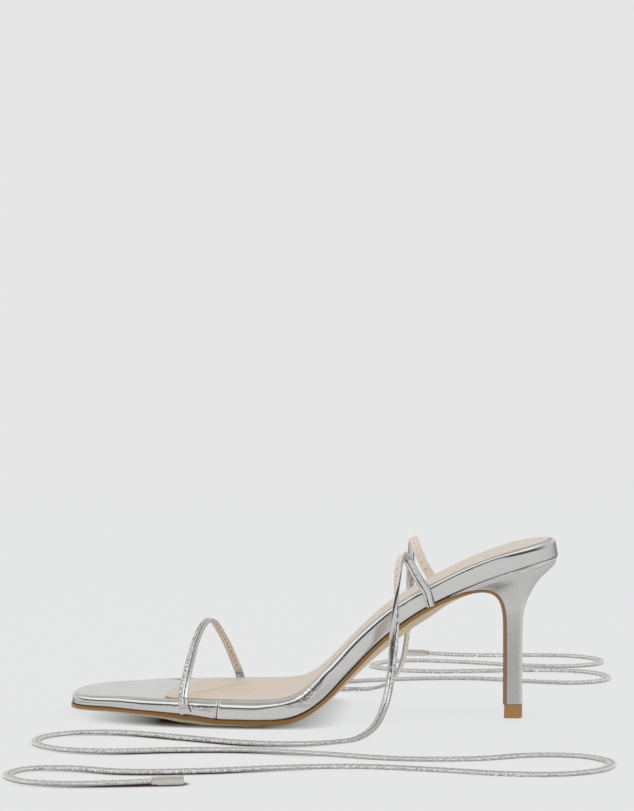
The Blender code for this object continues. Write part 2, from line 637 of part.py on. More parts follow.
silver = "#c8c6c6"
make_outsole(make_material("tan_sole", "#8c7355", 0.55, 0.0))
make_footbed(make_material("silver_wrap", silver, 0.32, 0.7))
make_sock(make_material("beige_lining", "#d2c8be", 0.6, 0.0))
make_heel(make_material("silver_heel_cover", "#aeadac", 0.42, 0.7))
make_top_piece(make_material("tan_top_piece", "#99754a", 0.5, 0.0))
make_toe_strap(make_material("silver_strap", "#c4c2c0", 0.3, 0.75))
make_tie("tie_medial", MEDIAL_FALL, MEDIAL_FLOOR, -1.0, make_material("silver_tie_medial", "#c4c2c0", 0.3, 0.75))
make_tie("tie_lateral", LATERAL_FALL, LATERAL_FLOOR, 1.0, make_material("silver_tie_lateral", "#c4c2c0", 0.3, 0.75))
make_tie_end("tie_end_medial", MEDIAL_FALL, MEDIAL_FLOOR, make_material("bright_metal_medial", "#cac6c0", 0.12, 1.0))
make_tie_end("tie_end_lateral", LATERAL_FALL, LATERAL_FLOOR, make_material("bright_metal_lateral", "#cac6c0", 0.12, 1.0))
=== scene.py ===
"""Looks of the strappy heeled sandal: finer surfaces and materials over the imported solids.

Tables are in millimetres and degrees, in the frame that the solids were drawn in.
The toe points to -X, the medial side is -Y and the floor is z = 0.
"""
import math

import bmesh
import bpy
import numpy as np
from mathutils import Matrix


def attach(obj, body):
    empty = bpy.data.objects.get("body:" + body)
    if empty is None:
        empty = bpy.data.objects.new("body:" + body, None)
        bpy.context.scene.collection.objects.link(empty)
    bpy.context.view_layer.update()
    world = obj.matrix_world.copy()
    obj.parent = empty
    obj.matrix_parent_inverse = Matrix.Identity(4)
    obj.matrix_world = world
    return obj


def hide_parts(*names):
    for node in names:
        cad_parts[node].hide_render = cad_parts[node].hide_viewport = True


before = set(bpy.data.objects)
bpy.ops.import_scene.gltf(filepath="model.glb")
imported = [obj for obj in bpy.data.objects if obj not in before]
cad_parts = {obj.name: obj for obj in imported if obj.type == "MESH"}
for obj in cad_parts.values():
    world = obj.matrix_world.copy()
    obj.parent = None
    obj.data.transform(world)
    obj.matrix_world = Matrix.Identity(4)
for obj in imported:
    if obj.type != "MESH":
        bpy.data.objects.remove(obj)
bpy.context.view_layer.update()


# Footbed
# A padded insole board with a shank, shaped on the last and wrapped in silver foiled leather.
# The wrap is rolled over the edge, pulled under, and lapped once on the medial side of the ball.

MM = 0.001                             # one millimetre in metres
MIDDLE = np.array((0.54, 0.69, 0.0))   # middle of the sandal, moved to the origin
CLEAR = 0.3                            # room between pieces that are glued on the real sandal
ALONG, PITCH, THICK, ROLL, MEDIAL, LATERAL, EDGE, BELLY = range(8)
SOLE = np.array((
    (0.0, -1.0, 4.4, 1.5, 22.2, 20.6, 1.8, 0.0),
    (18.0, -1.0, 4.9, 2.0, 24.2, 23.8, 1.8, 0.1),
    (32.0, -1.4, 5.5, 2.4, 29.2, 29.2, 1.9, 0.2),
    (46.0, -2.2, 6.1, 2.8, 32.7, 32.9, 2.3, 0.4),
    (56.0, -3.8, 6.7, 3.2, 34.4, 34.9, 3.2, 1.0),
    (67.0, -6.8, 7.8, 3.6, 36.1, 36.6, 3.0, 1.0),
    (76.0, 0.0, 8.4, 3.8, 37.4, 38.0, 2.3, 0.6),
    (88.0, 0.0, 8.4, 3.8, 38.0, 39.0, 2.3, 0.5),
    (96.0, 0.0, 8.6, 3.6, 37.1, 39.3, 2.3, 0.6),
    (105.0, 11.5, 8.9, 3.2, 35.2, 39.0, 2.3, 0.6),
    (113.0, 27.5, 9.0, 2.7, 33.5, 38.4, 2.0, 0.5),
    (121.0, 39.5, 8.9, 2.2, 31.7, 37.4, 1.9, 0.8),
    (131.0, 47.4, 8.7, 1.8, 29.6, 35.9, 1.9, 1.4),
    (146.0, 46.6, 8.5, 1.6, 26.6, 32.7, 1.8, 2.35),
    (158.0, 43.0, 8.5, 1.5, 24.7, 30.1, 1.75, 3.2),
    (170.0, 37.2, 8.4, 1.5, 23.3, 27.7, 1.8, 3.65),
    (182.0, 32.0, 8.0, 1.5, 22.4, 25.7, 1.8, 3.7),
    (196.0, 26.6, 7.9, 1.5, 22.2, 24.6, 1.75, 2.0),
    (212.0, 22.6, 8.4, 1.5, 22.8, 24.6, 1.5, 1.0),
    (230.0, 17.5, 8.4, 1.5, 23.7, 24.7, 1.5, 0.6),
    (250.0, 10.0, 7.9, 1.5, 23.8, 24.4, 1.5, 0.6),
))
FEATHER_LENGTH = 250.0
BALL_ALONG, BALL_X, BALL_Z = 86.6, -26.3, 2.7
TOE_Y = -4.0
TOE_MEDIAL, TOE_LATERAL = (16.0, 3.0), (18.0, 1.9)   # length and power of the toe's round corners
HEEL_ROUND = 24.0
DISH_DEPTH, DISH_FROM, DISH_FULL = 1.0, 36.0, 56.0
WALL_FOOT, WALL_TALL = 1.3, 4.6        # where the wall starts over the seam, and its usual height

LAP_AT, LAP_LEAN = 72.6, 1.2           # lap of the wrap on the medial side
# Ridges: distance from its line, height, width. Fold: depth, width. Step: height, width, length
LAP_RIDGE, LAP_FOLD, LAP_STEP = (0.6, 0.42, 0.34), (0.2, 0.22), (0.14, 0.4, 5.0)
# Lasted ends of the straps: side, place along the sole, and how deep they press the wrap
STRAP_ENDS = ((-1, 57.2, 0.2), (1, 74.4, 0.2), (-1, 183.5, 0.07), (1, 183.5, 0.07))
PRESS_AT, PRESS_WIDTH = 4.4, 1.7
# Height of the upper roll along the sole
ROLL_TALL = np.array((
    (0.0, 2.6), (17.0, 3.0), (35.0, 3.3), (50.0, 3.3), (58.0, 2.9), (70.0, 2.9), (75.0, 4.1),
    (90.0, 4.1), (100.0, 3.1), (113.0, 2.6), (131.0, 2.2), (190.0, 2.4), (225.0, 2.5), (250.0, 2.5),
))
# Where the wrap is drawn in under the roll: side, from, to, depth, and where that starts up the side
DRAWN = np.array((
    (-1, 34.0, 55.0, 0.12, 0.28), (-1, 59.5, 71.6, 0.30, 0.24),
    (-1, 102.0, 134.0, 0.22, 0.28), (1, 102.0, 134.0, 0.22, 0.28),
))
DRAWN_FADE, DRAWN_FULL = 0.18, 0.42    # share of its length to fade in, and where it is deepest
BEND_AT, BEND_WIDTH = 118.5, 7.0       # where the waist bends most, which cracks the foil
SEAM_SHADE = np.array((0.9, 0.6, 0.15, 0.0))   # painted shade in the feather seam's crevice, from the seam up
RIM_SHADE = np.array((0.25, 0.8, 1.0))         # and painted shade from the roll's inner edge down to the sock
# Creases of the wrap in the bend: side, along, lean, width, depth, and their span up the side
BEND_CREASES = np.array((
    (-1, 101.5, 1.6, 0.50, 0.10, 0.52, 0.80), (-1, 104.4, -1.2, 0.45, 0.12, 0.48, 0.84),
    (-1, 107.6, 2.0, 0.60, 0.14, 0.50, 0.82), (-1, 110.1, 1.0, 0.40, 0.16, 0.46, 0.80),
    (-1, 112.0, -1.6, 0.45, 0.20, 0.44, 0.82), (-1, 113.9, 1.4, 0.40, 0.22, 0.42, 0.84),
    (-1, 115.7, 2.2, 0.45, 0.22, 0.46, 0.86), (-1, 117.6, -1.0, 0.40, 0.20, 0.44, 0.82),
    (-1, 119.6, 1.8, 0.50, 0.18, 0.48, 0.86), (-1, 122.3, 2.4, 0.55, 0.14, 0.55, 0.88),
    (-1, 136.0, 7.0, 0.60, 0.12, 0.62, 0.92), (-1, 141.0, 8.0, 0.70, 0.12, 0.66, 0.94),
    (-1, 146.5, 8.0, 0.70, 0.08, 0.66, 0.94),
    (1, 103.0, 1.4, 0.50, 0.12, 0.50, 0.82), (1, 106.8, -1.4, 0.50, 0.16, 0.46, 0.82),
    (1, 110.4, 1.8, 0.45, 0.20, 0.44, 0.84), (1, 113.6, -0.8, 0.45, 0.20, 0.44, 0.84),
    (1, 117.0, 2.0, 0.50, 0.18, 0.46, 0.86), (1, 121.2, 2.2, 0.60, 0.12, 0.52, 0.88),
))


def ramp(value, start, full):
    """Straight rise from 0 at start to 1 at full, level outside them; full may be the lower one."""
    return np.clip((value - start) / (full - start), 0.0, 1.0)


def smooth_step(value, start, full):
    """A ramp eased at both ends: three times its square less twice its cube."""
    share = ramp(value, start, full)
    return share**2 * (3.0 - 2.0 * share)


def bell(value, middle, width):
    """Bell curve: e to the power of minus the squared distance from the middle, in widths."""
    return np.exp(-((value - middle) / width) ** 2)


def unit(vectors):
    """Vectors brought to length one."""
    return vectors / np.linalg.norm(vectors, axis=-1, keepdims=True)


def running_sum(steps):
    """Sum of the steps before each point, from zero."""
    return np.concatenate([[0.0], np.cumsum(steps)])


def cubic(t, step, start, stop, slope_start, slope_stop):
    """The cubic between two values with given slopes at both, at shares t of a step."""
    rise = 3.0 * t**2 - 2.0 * t**3
    turn = (t**3 - 2.0 * t**2 + t) * slope_start + (t**3 - t**2) * slope_stop
    return (1.0 - rise) * start + rise * stop + turn * step


def smooth_column(table, column, at):
    """A column of a table between its rows.

    Each span is the cubic whose end slopes are the weighted harmonic mean of the slopes on both
    sides of a row, and zero where those differ in sign, so it never swings past a row.
    """
    knots, values = table[:, 0], table[:, column]
    step = np.diff(knots)
    slope = np.diff(values) / step
    near, far = 2.0 * step[1:] + step[:-1], step[1:] + 2.0 * step[:-1]
    agree = slope[:-1] * slope[1:] > 0.0
    before, after = np.where(agree, slope[:-1], 1.0), np.where(agree, slope[1:], 1.0)
    inner = np.where(agree, (near + far) / np.where(agree, near / before + far / after, 1.0), 0.0)
    tangent = np.concatenate([slope[:1], inner, slope[-1:]])
    at = np.asarray(at, float)
    k = np.clip(np.searchsorted(knots, at, side="right") - 1, 0, len(knots) - 2)
    t = (at - knots[k]) / step[k]
    return cubic(t, step[k], values[k], values[k + 1], tangent[k], tangent[k + 1])


def over_line(table, along, y, height):
    """Points at a height square to a line in the X-Z plane.

    The line is the running sum of short steps, each turned by the table's pitch at its middle.
    """
    fine = np.linspace(0.0, table[-1, 0], 4001)
    pitch = np.radians(smooth_column(table, PITCH, fine))
    middle = 0.5 * (pitch[1:] + pitch[:-1])
    x = running_sum(np.diff(fine) * np.cos(middle))
    z = running_sum(np.diff(fine) * np.sin(middle))
    x += BALL_X - np.interp(BALL_ALONG, fine, x)
    z += BALL_Z - np.interp(BALL_ALONG, fine, z)
    lean = np.interp(along, fine, pitch)
    across = np.broadcast_to(y, np.shape(lean))
    return np.stack([np.interp(along, fine, x) - height * np.sin(lean), across,
                     np.interp(along, fine, z) + height * np.cos(lean)], axis=-1)


def half_outline(along):
    """Medial and lateral edge: the table's half widths, closed by superellipse ends."""
    def closing(distance, length, power):
        return (1.0 - np.clip(1.0 - distance / length, 0.0, 1.0) ** power) ** (1.0 / power)
    heel = closing(FEATHER_LENGTH - along, HEEL_ROUND, 2.0)
    medial = TOE_Y - (smooth_column(SOLE, MEDIAL, along) + TOE_Y) * closing(along, *TOE_MEDIAL)
    lateral = TOE_Y + (smooth_column(SOLE, LATERAL, along) - TOE_Y) * closing(along, *TOE_LATERAL)
    return medial * heel, lateral * heel


def plan_heading(outline):
    """Unit direction round a closed plan, from each point's two neighbours."""
    return unit(np.roll(outline, -1, axis=0) - np.roll(outline, 1, axis=0))


def pulled_in(outline, inset):
    """A closed plan moved square to its own edge; inset may have one value for each point."""
    ahead = plan_heading(outline)
    inward = np.stack([-ahead[:, 1], ahead[:, 0]], axis=1)
    return outline + inward * np.asarray(inset)[..., None]


def grid_faces(rows, columns, closed=False, first=0):
    """Quads of a grid of points, row by row; closed joins the last column to the first."""
    index = first + np.arange(rows * columns).reshape(rows, columns)
    if closed:
        index = np.concatenate([index, index[:, :1]], axis=1)
    corners = [index[:-1, :-1], index[:-1, 1:], index[1:, 1:], index[1:, :-1]]
    return np.stack(corners, axis=-1).reshape(-1, 4)


def shell_mesh(parts):
    """Points and faces of a shell: a closed side, and the open sheets over and under it."""
    first = np.cumsum([0] + [part[..., 0].size for part in parts])
    faces = [grid_faces(*part.shape[:2], closed=k == 0, first=first[k])
             for k, part in enumerate(parts)]
    return np.concatenate([part.reshape(-1, 3) for part in parts]), faces


def over_shell(parts, *values):
    """One value for each point of a shell, given whole or as one number for each of its parts."""
    spread = [np.broadcast_to(value, part.shape[:2]) for value, part in zip(values, parts)]
    return np.concatenate([value.ravel() for value in spread])


def put_piece(name, points, faces, materials, slots=None, sharp=40.0, values=None):
    """A named piece from points in millimetres: doubles merged, faces turned outwards."""
    mesh = bpy.data.meshes.new(name)
    spots = (np.asarray(points, float).reshape(-1, 3) - MIDDLE) * MM
    mesh.from_pydata(spots, [], [tuple(f) for part in faces for f in np.asarray(part).tolist()])
    for material in materials:
        mesh.materials.append(material)
    if slots is not None:
        mesh.polygons.foreach_set("material_index", np.asarray(slots, np.int32))
    for key, value in (values or {}).items():
        mesh.attributes.new(key, "FLOAT", "POINT").data.foreach_set("value", np.ravel(value))
    shape = bmesh.new()
    shape.from_mesh(mesh)
    bmesh.ops.remove_doubles(shape, verts=shape.verts, dist=1e-6)
    bmesh.ops.recalc_face_normals(shape, faces=shape.faces)
    shape.to_mesh(mesh)
    shape.free()
    mesh.shade_smooth()
    mesh.set_sharp_from_angle(angle=math.radians(sharp))
    piece = bpy.data.objects.new(name, mesh)
    bpy.context.scene.collection.objects.link(piece)
    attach(piece, "root")
    return piece


def to_linear(colour):
    """Linear RGBA of an sRGB hex colour."""
    c = np.array([int(colour[i:i + 2], 16) / 255.0 for i in (1, 3, 5)])
    return (*np.where(c <= 0.04045, c / 12.92, ((c + 0.055) / 1.055) ** 2.4).tolist(), 1.0)


def plug(tree, node, inputs):
    """Values or links for some of a node's inputs."""
    for key, value in inputs.items():
        if isinstance(value, bpy.types.NodeSocket):
            tree.links.new(value, node.inputs[key])
        else:
            node.inputs[key].default_value = value


def add(tree, kind, inputs=None, stops=(), **settings):
    """A shader node with its settings, and with values or links for its inputs."""
    made = tree.nodes.new("ShaderNode" + kind)
    for key, value in settings.items():
        setattr(made, key, value)
    plug(tree, made, inputs or {})
    for i, (place, colour) in enumerate(stops):
        stop = made.color_ramp.elements[i] if i < 2 else made.color_ramp.elements.new(place)
        stop.position, stop.color = place, colour
    return made


def new_finish(name):
    """An empty material with its shader and the piece's own coordinates.

    They are in metres, so a pattern's scale is 1000 over its size in millimetres.
    """
    material = bpy.data.materials.new(name)
    material.use_nodes = True
    tree = material.node_tree
    return material, tree, tree.nodes["Principled BSDF"], add(tree, "TexCoord").outputs["Object"]


def silver_foiled_leather(name, light, dark, rough, grain, folds, drawn=(0.0, 1.0)):
    """Leather with a silver foil pressed on and a thin clear top coat.

    The foil mirrors the studio softly. The leather's grain shows through it as speckle where a
    dark reflection passes, and folds crack it into small bumped facets where the piece's crackle
    value says, with painted dim and bright flecks in its colour there. Its glance value dims the
    foil that is seen edge on, its shade value is painted shade that mixes the colour towards dark
    grey, and its gleam value is a painted highlight that mixes it towards white.
    grain and folds are size and depth in millimetres, and drawn is how far the grain is turned
    and stretched where the leather was pulled tight. The grain is drawn near two pixels wide,
    as finer would not show.
    """
    material, tree, shader, place = new_finish(name)
    crackle, shade, gleam, glance = (add(tree, "Attribute", attribute_name=key).outputs["Fac"]
                                     for key in ("crackle", "shade", "gleam", "glance"))
    cloud = add(tree, "TexNoise", {"Vector": place, "Scale": 1000.0 / 14.0, "Detail": 3.0})
    tone = add(tree, "Mix", {0: cloud.outputs["Fac"], 6: to_linear(dark), 7: to_linear(light)},
               data_type="RGBA")
    warp = add(tree, "TexNoise", {"Vector": place, "Scale": 1000.0 / (2.2 * folds[0]), "Detail": 1.0})
    slip = (1.2 * folds[0] * MM,) * 3
    bent = add(tree, "VectorMath", {0: warp.outputs["Color"], 1: slip, 2: place},
               operation="MULTIPLY_ADD")
    crack = add(tree, "TexVoronoi", {"Vector": bent.outputs[0], "Scale": 1000.0 / folds[0]},
                feature="F1")
    # Painted shade and painted highlight: each crack cell's random value darkens or whitens its facet
    # in the colour, as far as crackle says
    chance = add(tree, "SeparateColor", {0: crack.outputs["Color"]}).outputs[0]
    dim = add(tree, "MapRange", {"Value": chance, "From Min": 0.4, "From Max": 0.0, "To Max": 0.6})
    lit = add(tree, "MapRange", {"Value": chance, "From Min": 0.5, "From Max": 0.9})
    dim, lit = (add(tree, "Math", {0: facet.outputs[0], 1: crackle}, operation="MULTIPLY").outputs[0]
                for facet in (dim, lit))
    # Painted shade from the shade value and the dim facets, painted highlight from the gleam value
    # and the bright facets
    painted_shade_amount = add(tree, "Math", {0: shade, 1: dim}, operation="MAXIMUM").outputs[0]
    painted_shade_colour = add(tree, "Mix", {0: painted_shade_amount, 6: tone.outputs[2], 7: to_linear("#2e2c29")},
                data_type="RGBA")
    painted_highlight_amount = add(tree, "Math", {0: gleam, 1: lit}, operation="MAXIMUM").outputs[0]
    bright = add(tree, "Mix", {0: painted_highlight_amount, 6: painted_shade_colour.outputs[2], 7: to_linear("#ffffff")},
                 data_type="RGBA")
    pulled = add(tree, "Mapping", {"Vector": place, "Rotation": (0.0, drawn[0], 0.0),
                                   "Scale": (1.0, 1.0, 1.0 / drawn[1])})
    speck = add(tree, "TexNoise", {"Vector": pulled.outputs[0], "Scale": 1000.0 / grain[0],
                                   "Detail": 2.0, "Roughness": 0.6}).outputs["Fac"]
    dull = add(tree, "MapRange", {"Value": speck, "From Min": 0.3, "From Max": 0.7,
                                  "To Min": rough[0], "To Max": rough[1]})
    fine = add(tree, "Bump", {"Height": speck, "Distance": grain[1] * MM, "Strength": 1.0})
    facet = add(tree, "Bump", {"Height": crack.outputs["Distance"], "Distance": folds[1] * MM,
                               "Strength": crackle, "Normal": fine.outputs[0]})
    rim = add(tree, "Mix", {0: glance, 6: to_linear("#ffffff"), 7: to_linear("#8c8c8c")},
              data_type="RGBA")
    plug(tree, shader, {"Base Color": bright.outputs[2], "Roughness": dull.outputs[0],
                        "Normal": facet.outputs[0], "Specular Tint": rim.outputs[2], "Metallic": 0.94,
                        "Coat Weight": 0.12, "Coat Roughness": 0.18})
    return material


def dish_depth(along):
    """Smooth step from no dish at the toes to the full dish under the foot."""
    return DISH_DEPTH * smooth_step(along, DISH_FROM, DISH_FULL)


def from_lap_line(along, share):
    """Distance behind the lap's line, which leans back as it goes up the side."""
    return along - LAP_AT - LAP_LEAN * (share - 0.5)


def wrap_relief(along, side, share):
    """How far the wrap stands out from the smooth form, in millimetres.

    A lap is two bell-shaped ridges with a fold line between them and a step that dies away behind
    it. A crease is a narrow bell-shaped trough across the roll, a lasted end presses a wide shallow
    trough on both sides of itself, and two long waves are left from pulling the wrap by hand. Where
    the wrap is drawn in, it leans back evenly up the wall and comes out again over the roll.
    """
    x = from_lap_line(along, share)
    at, tall, wide = LAP_RIDGE
    lap = tall * (bell(x, -at, wide) + bell(x, at, wide)) - LAP_FOLD[0] * bell(x, 0.0, LAP_FOLD[1])
    tall, wide, length = LAP_STEP
    lap += tall * (1.0 + np.tanh(x / wide)) * 0.5 * np.exp(-np.clip(x, 0.0, None) / length)
    relief = lap * (side < 0) * ramp(share, 0.88, 0.78) * ramp(share, 0.0, 0.06)
    at_side, start, stop, depth, low = DRAWN.T[:, :, None, None]
    fade = DRAWN_FADE * (stop - start)
    drawn = ramp(along, start, start + fade) * ramp(along, stop, stop - fade)
    drawn = drawn * ramp(share, low, DRAWN_FULL) * ramp(share, 1.0, 0.88)
    relief = relief - np.sum(depth * drawn * (side == at_side), axis=0)
    at_side, at, lean, width, depth, low, high = BEND_CREASES.T[:, :, None, None]
    crease = bell(along - at, lean * (share - 0.5), width)
    crease = crease * ramp(share, low, low + 0.12) * ramp(share, high, high - 0.12)
    relief = relief - np.sum(depth * crease * (side == at_side), axis=0)
    for at_side, at, depth in STRAP_ENDS:
        press = bell(along, at + PRESS_AT, PRESS_WIDTH) + bell(along, at - PRESS_AT, PRESS_WIDTH)
        relief = relief - depth * press * (side == at_side) * ramp(abs(share - 0.55), 0.5, 0.0)
    waves = 0.05 * np.sin(along / 6.7 + side) + 0.04 * np.sin(along / 3.9 + 2.0 * side + 3.0 * share)
    return relief + waves * ramp(share, 0.0, 0.2) * ramp(share, 1.0, 0.8)


def sole_stations(step):
    """Distances from the toe: by a sine at the round ends, and evenly between them."""
    end = 1.0 - np.sin(np.linspace(0.0, 0.5 * math.pi, 34))
    body = np.arange(TOE_LATERAL[0] + step, FEATHER_LENGTH - HEEL_ROUND - 0.5 * step, step)
    return np.concatenate([TOE_LATERAL[0] * end[::-1], body, FEATHER_LENGTH - HEEL_ROUND * end])


stations = sole_stations(0.6)
stations = np.unique(np.concatenate([stations, np.arange(LAP_AT - 2.4, LAP_AT + 2.4, 0.15)]))
medial_edge, lateral_edge = half_outline(stations)
plan = np.concatenate([np.stack([stations, medial_edge], axis=1),
                       np.stack([stations, lateral_edge], axis=1)[1:-1][::-1]])
plan_along = plan[:, 0]
plan_side = np.where(np.arange(len(plan)) < len(stations), -1, 1)
thick, roll = smooth_column(SOLE, THICK, plan_along), smooth_column(SOLE, ROLL, plan_along)


def undercut(outline):
    """How far the foot of the wall is set in, to lean it in by four degrees where it is upright.

    In the rising waist the plan narrows, which turns the wall upwards by the arcsine of its
    forward slope times the sine of the pitch. That is taken off too, except round the two ends.
    """
    ahead = plan_heading(outline)
    pitch = np.radians(smooth_column(SOLE, PITCH, outline[:, 0]))
    upward = np.degrees(np.arcsin(ahead[:, 1] * np.sin(pitch)))
    lean = np.clip(upward + 4.0, 2.0, 14.0) * np.abs(ahead[:, 0])
    return np.tan(np.radians(lean)) * WALL_TALL


# The side from the feather seam up: lower roll, wall, upper roll, then the dish
foot = undercut(plan)
lower = np.array(((0.35, -0.25), (0.14, -0.1), (0.04, 0.2), (0.0, 0.6)))[:, :, None]   # inset, height
wall = np.linspace(0.0, 1.0, 9)[:, None]
bow = np.radians(np.linspace(0.0, 90.0, 20))[1:, None]
inside = np.array(((0.12, 0.15), (0.25, 0.6), (0.35, 1.0)))[:, :, None]   # inset, share of the dish
tall = np.minimum(smooth_column(ROLL_TALL, 1, plan_along), thick - 1.8)
# A lower power turns the edge in a tighter curve
tight = 0.8 - 0.22 * ramp(plan_along, 105.0, 120.0) - 0.1 * ramp(plan_along, 195.0, 215.0)
inset = np.concatenate([lower[:, 0] + foot * (1.0 + (WALL_FOOT - lower[:, 1]) / WALL_TALL),
                        foot * (1.0 - wall), roll * (1.0 - np.cos(bow) ** tight),
                        roll + inside[:, 0]])
height = np.concatenate([lower[:, 1] + 0.0 * roll, WALL_FOOT + wall * (thick - tall - WALL_FOOT),
                         thick - tall * (1.0 - np.sin(bow) ** tight),
                         thick - inside[:, 1] * dish_depth(plan_along)])
upright = len(lower) + len(wall)
lean = np.concatenate([np.zeros((upright, 1)), bow, np.full((len(inside), 1), 0.5 * math.pi)])
share = np.concatenate([np.linspace(0.0, 1.0, upright + len(bow)), np.ones(len(inside))])[:, None]
relief = wrap_relief(plan_along, plan_side, share)
moved = pulled_in(plan, inset - relief * np.cos(lean))
side_points = over_line(SOLE, moved[..., 0], moved[..., 1], height + relief * np.sin(lean))


def across_plan(ring, rows, columns):
    """Points on straight strips between the two edges of a closed plan that starts at its toe."""
    near = ring[:rows]
    far = np.concatenate([ring[:1], ring[rows:][::-1], ring[rows - 1:rows]])
    part = np.linspace(0.0, 1.0, columns)[None, :, None]
    return near[:, None] * (1.0 - part) + far[:, None] * part


top_plan = across_plan(moved[-1], len(stations), 25)
top_height = smooth_column(SOLE, THICK, top_plan[..., 0]) - dish_depth(top_plan[..., 0])
under_plan = across_plan(moved[0], len(stations), 5)
top_points = over_line(SOLE, top_plan[..., 0], top_plan[..., 1], top_height)
under_points = over_line(SOLE, under_plan[..., 0], under_plan[..., 1], 0.0)

# Where the foil is cracked, with painted dim and bright flecks in its colour: in the bend of the
# waist, and where the roll is drawn in before the lap
side_along, up = np.broadcast_to(plan_along, inset.shape), np.broadcast_to(share, inset.shape)
bend = bell(side_along, BEND_AT, BEND_WIDTH) * ramp(up, 0.24, 0.32) * ramp(up, 0.48, 0.40)
beside = (plan_side < 0) * ramp(side_along, 59.0, 61.0) * ramp(side_along, 72.0, 71.0)
beside = beside * ramp(up, 0.26, 0.32) * ramp(up, 0.47, 0.41)
crackle = np.clip(0.9 * bend + 0.7 * beside, 0.0, 1.0)

# Painted shade in the feather seam, along the sock and in the lap's fold, and a painted highlight on
# the lap's ridges
crevice = np.zeros(inset.shape)
crevice[:4] = SEAM_SHADE[:, None] * (0.12 + 0.48 * ramp(plan_along, 95.0, 115.0))
dished = dish_depth(plan_along - np.where(plan_side > 0, 8.0, 2.0)) / DISH_DEPTH
crevice[-3:] = RIM_SHADE[:, None] * dished**2
from_lap = np.abs(from_lap_line(side_along, up))
on_lap = (plan_side < 0) * ramp(up, 0.75, 0.65)
crevice = np.clip(crevice + 0.85 * bell(from_lap, 0.0, LAP_FOLD[1]) * on_lap, 0.0, 1.0)
gleam = 0.9 * bell(from_lap, LAP_RIDGE[0], 0.3) * on_lap * (np.arange(len(lean)) > 3)[:, None]
glance = ramp(up, 0.55, 0.40)

band_silver = silver_foiled_leather("silver_foiled_leather_band", "#dcdbda", "#d3d2d1",
                                    rough=(0.1, 0.16), grain=(0.6, 0.006), folds=(0.8, 0.04))
band = (side_points, top_points, under_points)
footbed = put_piece("footbed_wrapped", *shell_mesh(band), [band_silver], values={
    "crackle": over_shell(band, crackle, 0.0, 0.0), "shade": over_shell(band, crevice, 0.0, 1.0),
    "gleam": over_shell(band, gleam, 0.0, 0.0), "glance": over_shell(band, glance, 0.0, 0.0)})
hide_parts("footbed")


# Toe strap
# One narrow strap of the same foiled leather, folded over a beige lining and sewn along its length.
# Both ends are lasted down the outside of the band and caught under the outsole.

ARCH = np.array((   # x, y, z, width, thickness
    (-54.9, -35.9, 4.4, 5.4, 1.3), (-55.8, -36.1, 8.0, 4.9, 1.4), (-56.2, -35.2, 12.6, 4.5, 1.6),
    (-55.5, -31.3, 20.4, 4.3, 1.7), (-54.2, -25.2, 28.4, 4.0, 1.7), (-52.8, -18.4, 36.0, 3.7, 1.7),
    (-51.2, -11.8, 41.2, 3.4, 1.7), (-49.1, -3.4, 43.9, 3.3, 1.7), (-47.3, 4.6, 41.9, 3.3, 1.7),
    (-45.7, 11.8, 37.0, 3.4, 1.7), (-43.6, 20.8, 29.7, 3.6, 1.7), (-41.4, 30.2, 20.4, 3.8, 1.7),
    (-39.6, 36.4, 12.8, 4.0, 1.6), (-39.0, 38.9, 7.8, 4.9, 1.4), (-38.4, 38.9, 3.6, 5.4, 1.3),
))
ARCH_INSIDE = np.array((0.0, 1.0, 12.0))   # its silver face looks away from a line along X here
FLAT_BELOW, FREE_ABOVE = 10.0, 14.0        # heights between which it leaves the band's wall
PLAIN_BELOW, SEWN_ABOVE = 9.0, 12.0        # heights between which its seam and folds begin
ARCH_SEWN = (14.0, 13.0)   # how far from its medial and its lateral end it is sewn
ON_WALL = 1.25             # how far its ends are moved in, to lie on the wall
SPAN_STEPS = 40            # steps between two points of a strap's route
SEAM_AT = 0.12             # place of the sewn seam across a strap, as a share of its width
STITCH_PITCH = 3.5
STITCH = (1.4, 0.44, 0.34)  # length, width and height of one stitch


def smooth_route(points):
    """A curve through points, and the distance along it.

    Each span is a cubic whose end slopes are those of the parabola through three points, with
    the points spaced by the root of their distances.
    """
    p = np.asarray(points, float)
    knots = running_sum(np.linalg.norm(np.diff(p, axis=0), axis=1) ** 0.5)
    h = np.diff(knots)[:, None]
    slope = np.diff(p, axis=0) / h
    inner = (slope[:-1] * h[1:] + slope[1:] * h[:-1]) / (h[:-1] + h[1:])
    tangent = np.concatenate([2.0 * slope[:1] - inner[:1], inner, 2.0 * slope[-1:] - inner[-1:]])
    t = np.linspace(0.0, 1.0, SPAN_STEPS, endpoint=False)[None, :, None]
    spans = cubic(t, h[:, :, None], p[:-1, None], p[1:, None], tangent[:-1, None], tangent[1:, None])
    line = np.concatenate([spans.reshape(-1, 3), p[-1:]])
    return line, running_sum(np.linalg.norm(np.diff(line, axis=0), axis=1))


def at_distance(line, along, at):
    """Points of a line at given distances along it."""
    return np.stack([np.interp(at, along, line[:, k]) for k in range(line.shape[1])], axis=-1)


def strap_frame(line, face):
    """Unit direction, outward face and width direction at each point of a strap's middle line."""
    ahead = unit(np.gradient(line, axis=0))
    face = unit(face - ahead * np.sum(face * ahead, axis=1)[:, None])
    return ahead, face, np.cross(ahead, face)


def crumple(a, b):
    """Foil folds: five slanted rows of sharp ridges, each one minus the size of a sine wave."""
    turn = np.array((0.5, -0.9, 1.3, -0.3, 2.2)).reshape(5, 1, 1)
    wave = np.array((2.3, 3.1, 1.7, 4.6, 2.7)).reshape(5, 1, 1)
    drift = np.array((0.4, 1.7, 2.9, 0.8, 5.1)).reshape(5, 1, 1)
    phase = np.pi * (a * np.cos(turn) + b * np.sin(turn)) / wave + drift
    phase = phase + 0.9 * np.sin(a / 5.3 + drift)
    return np.mean(1.0 - np.abs(np.sin(phase)), axis=0) - 0.36


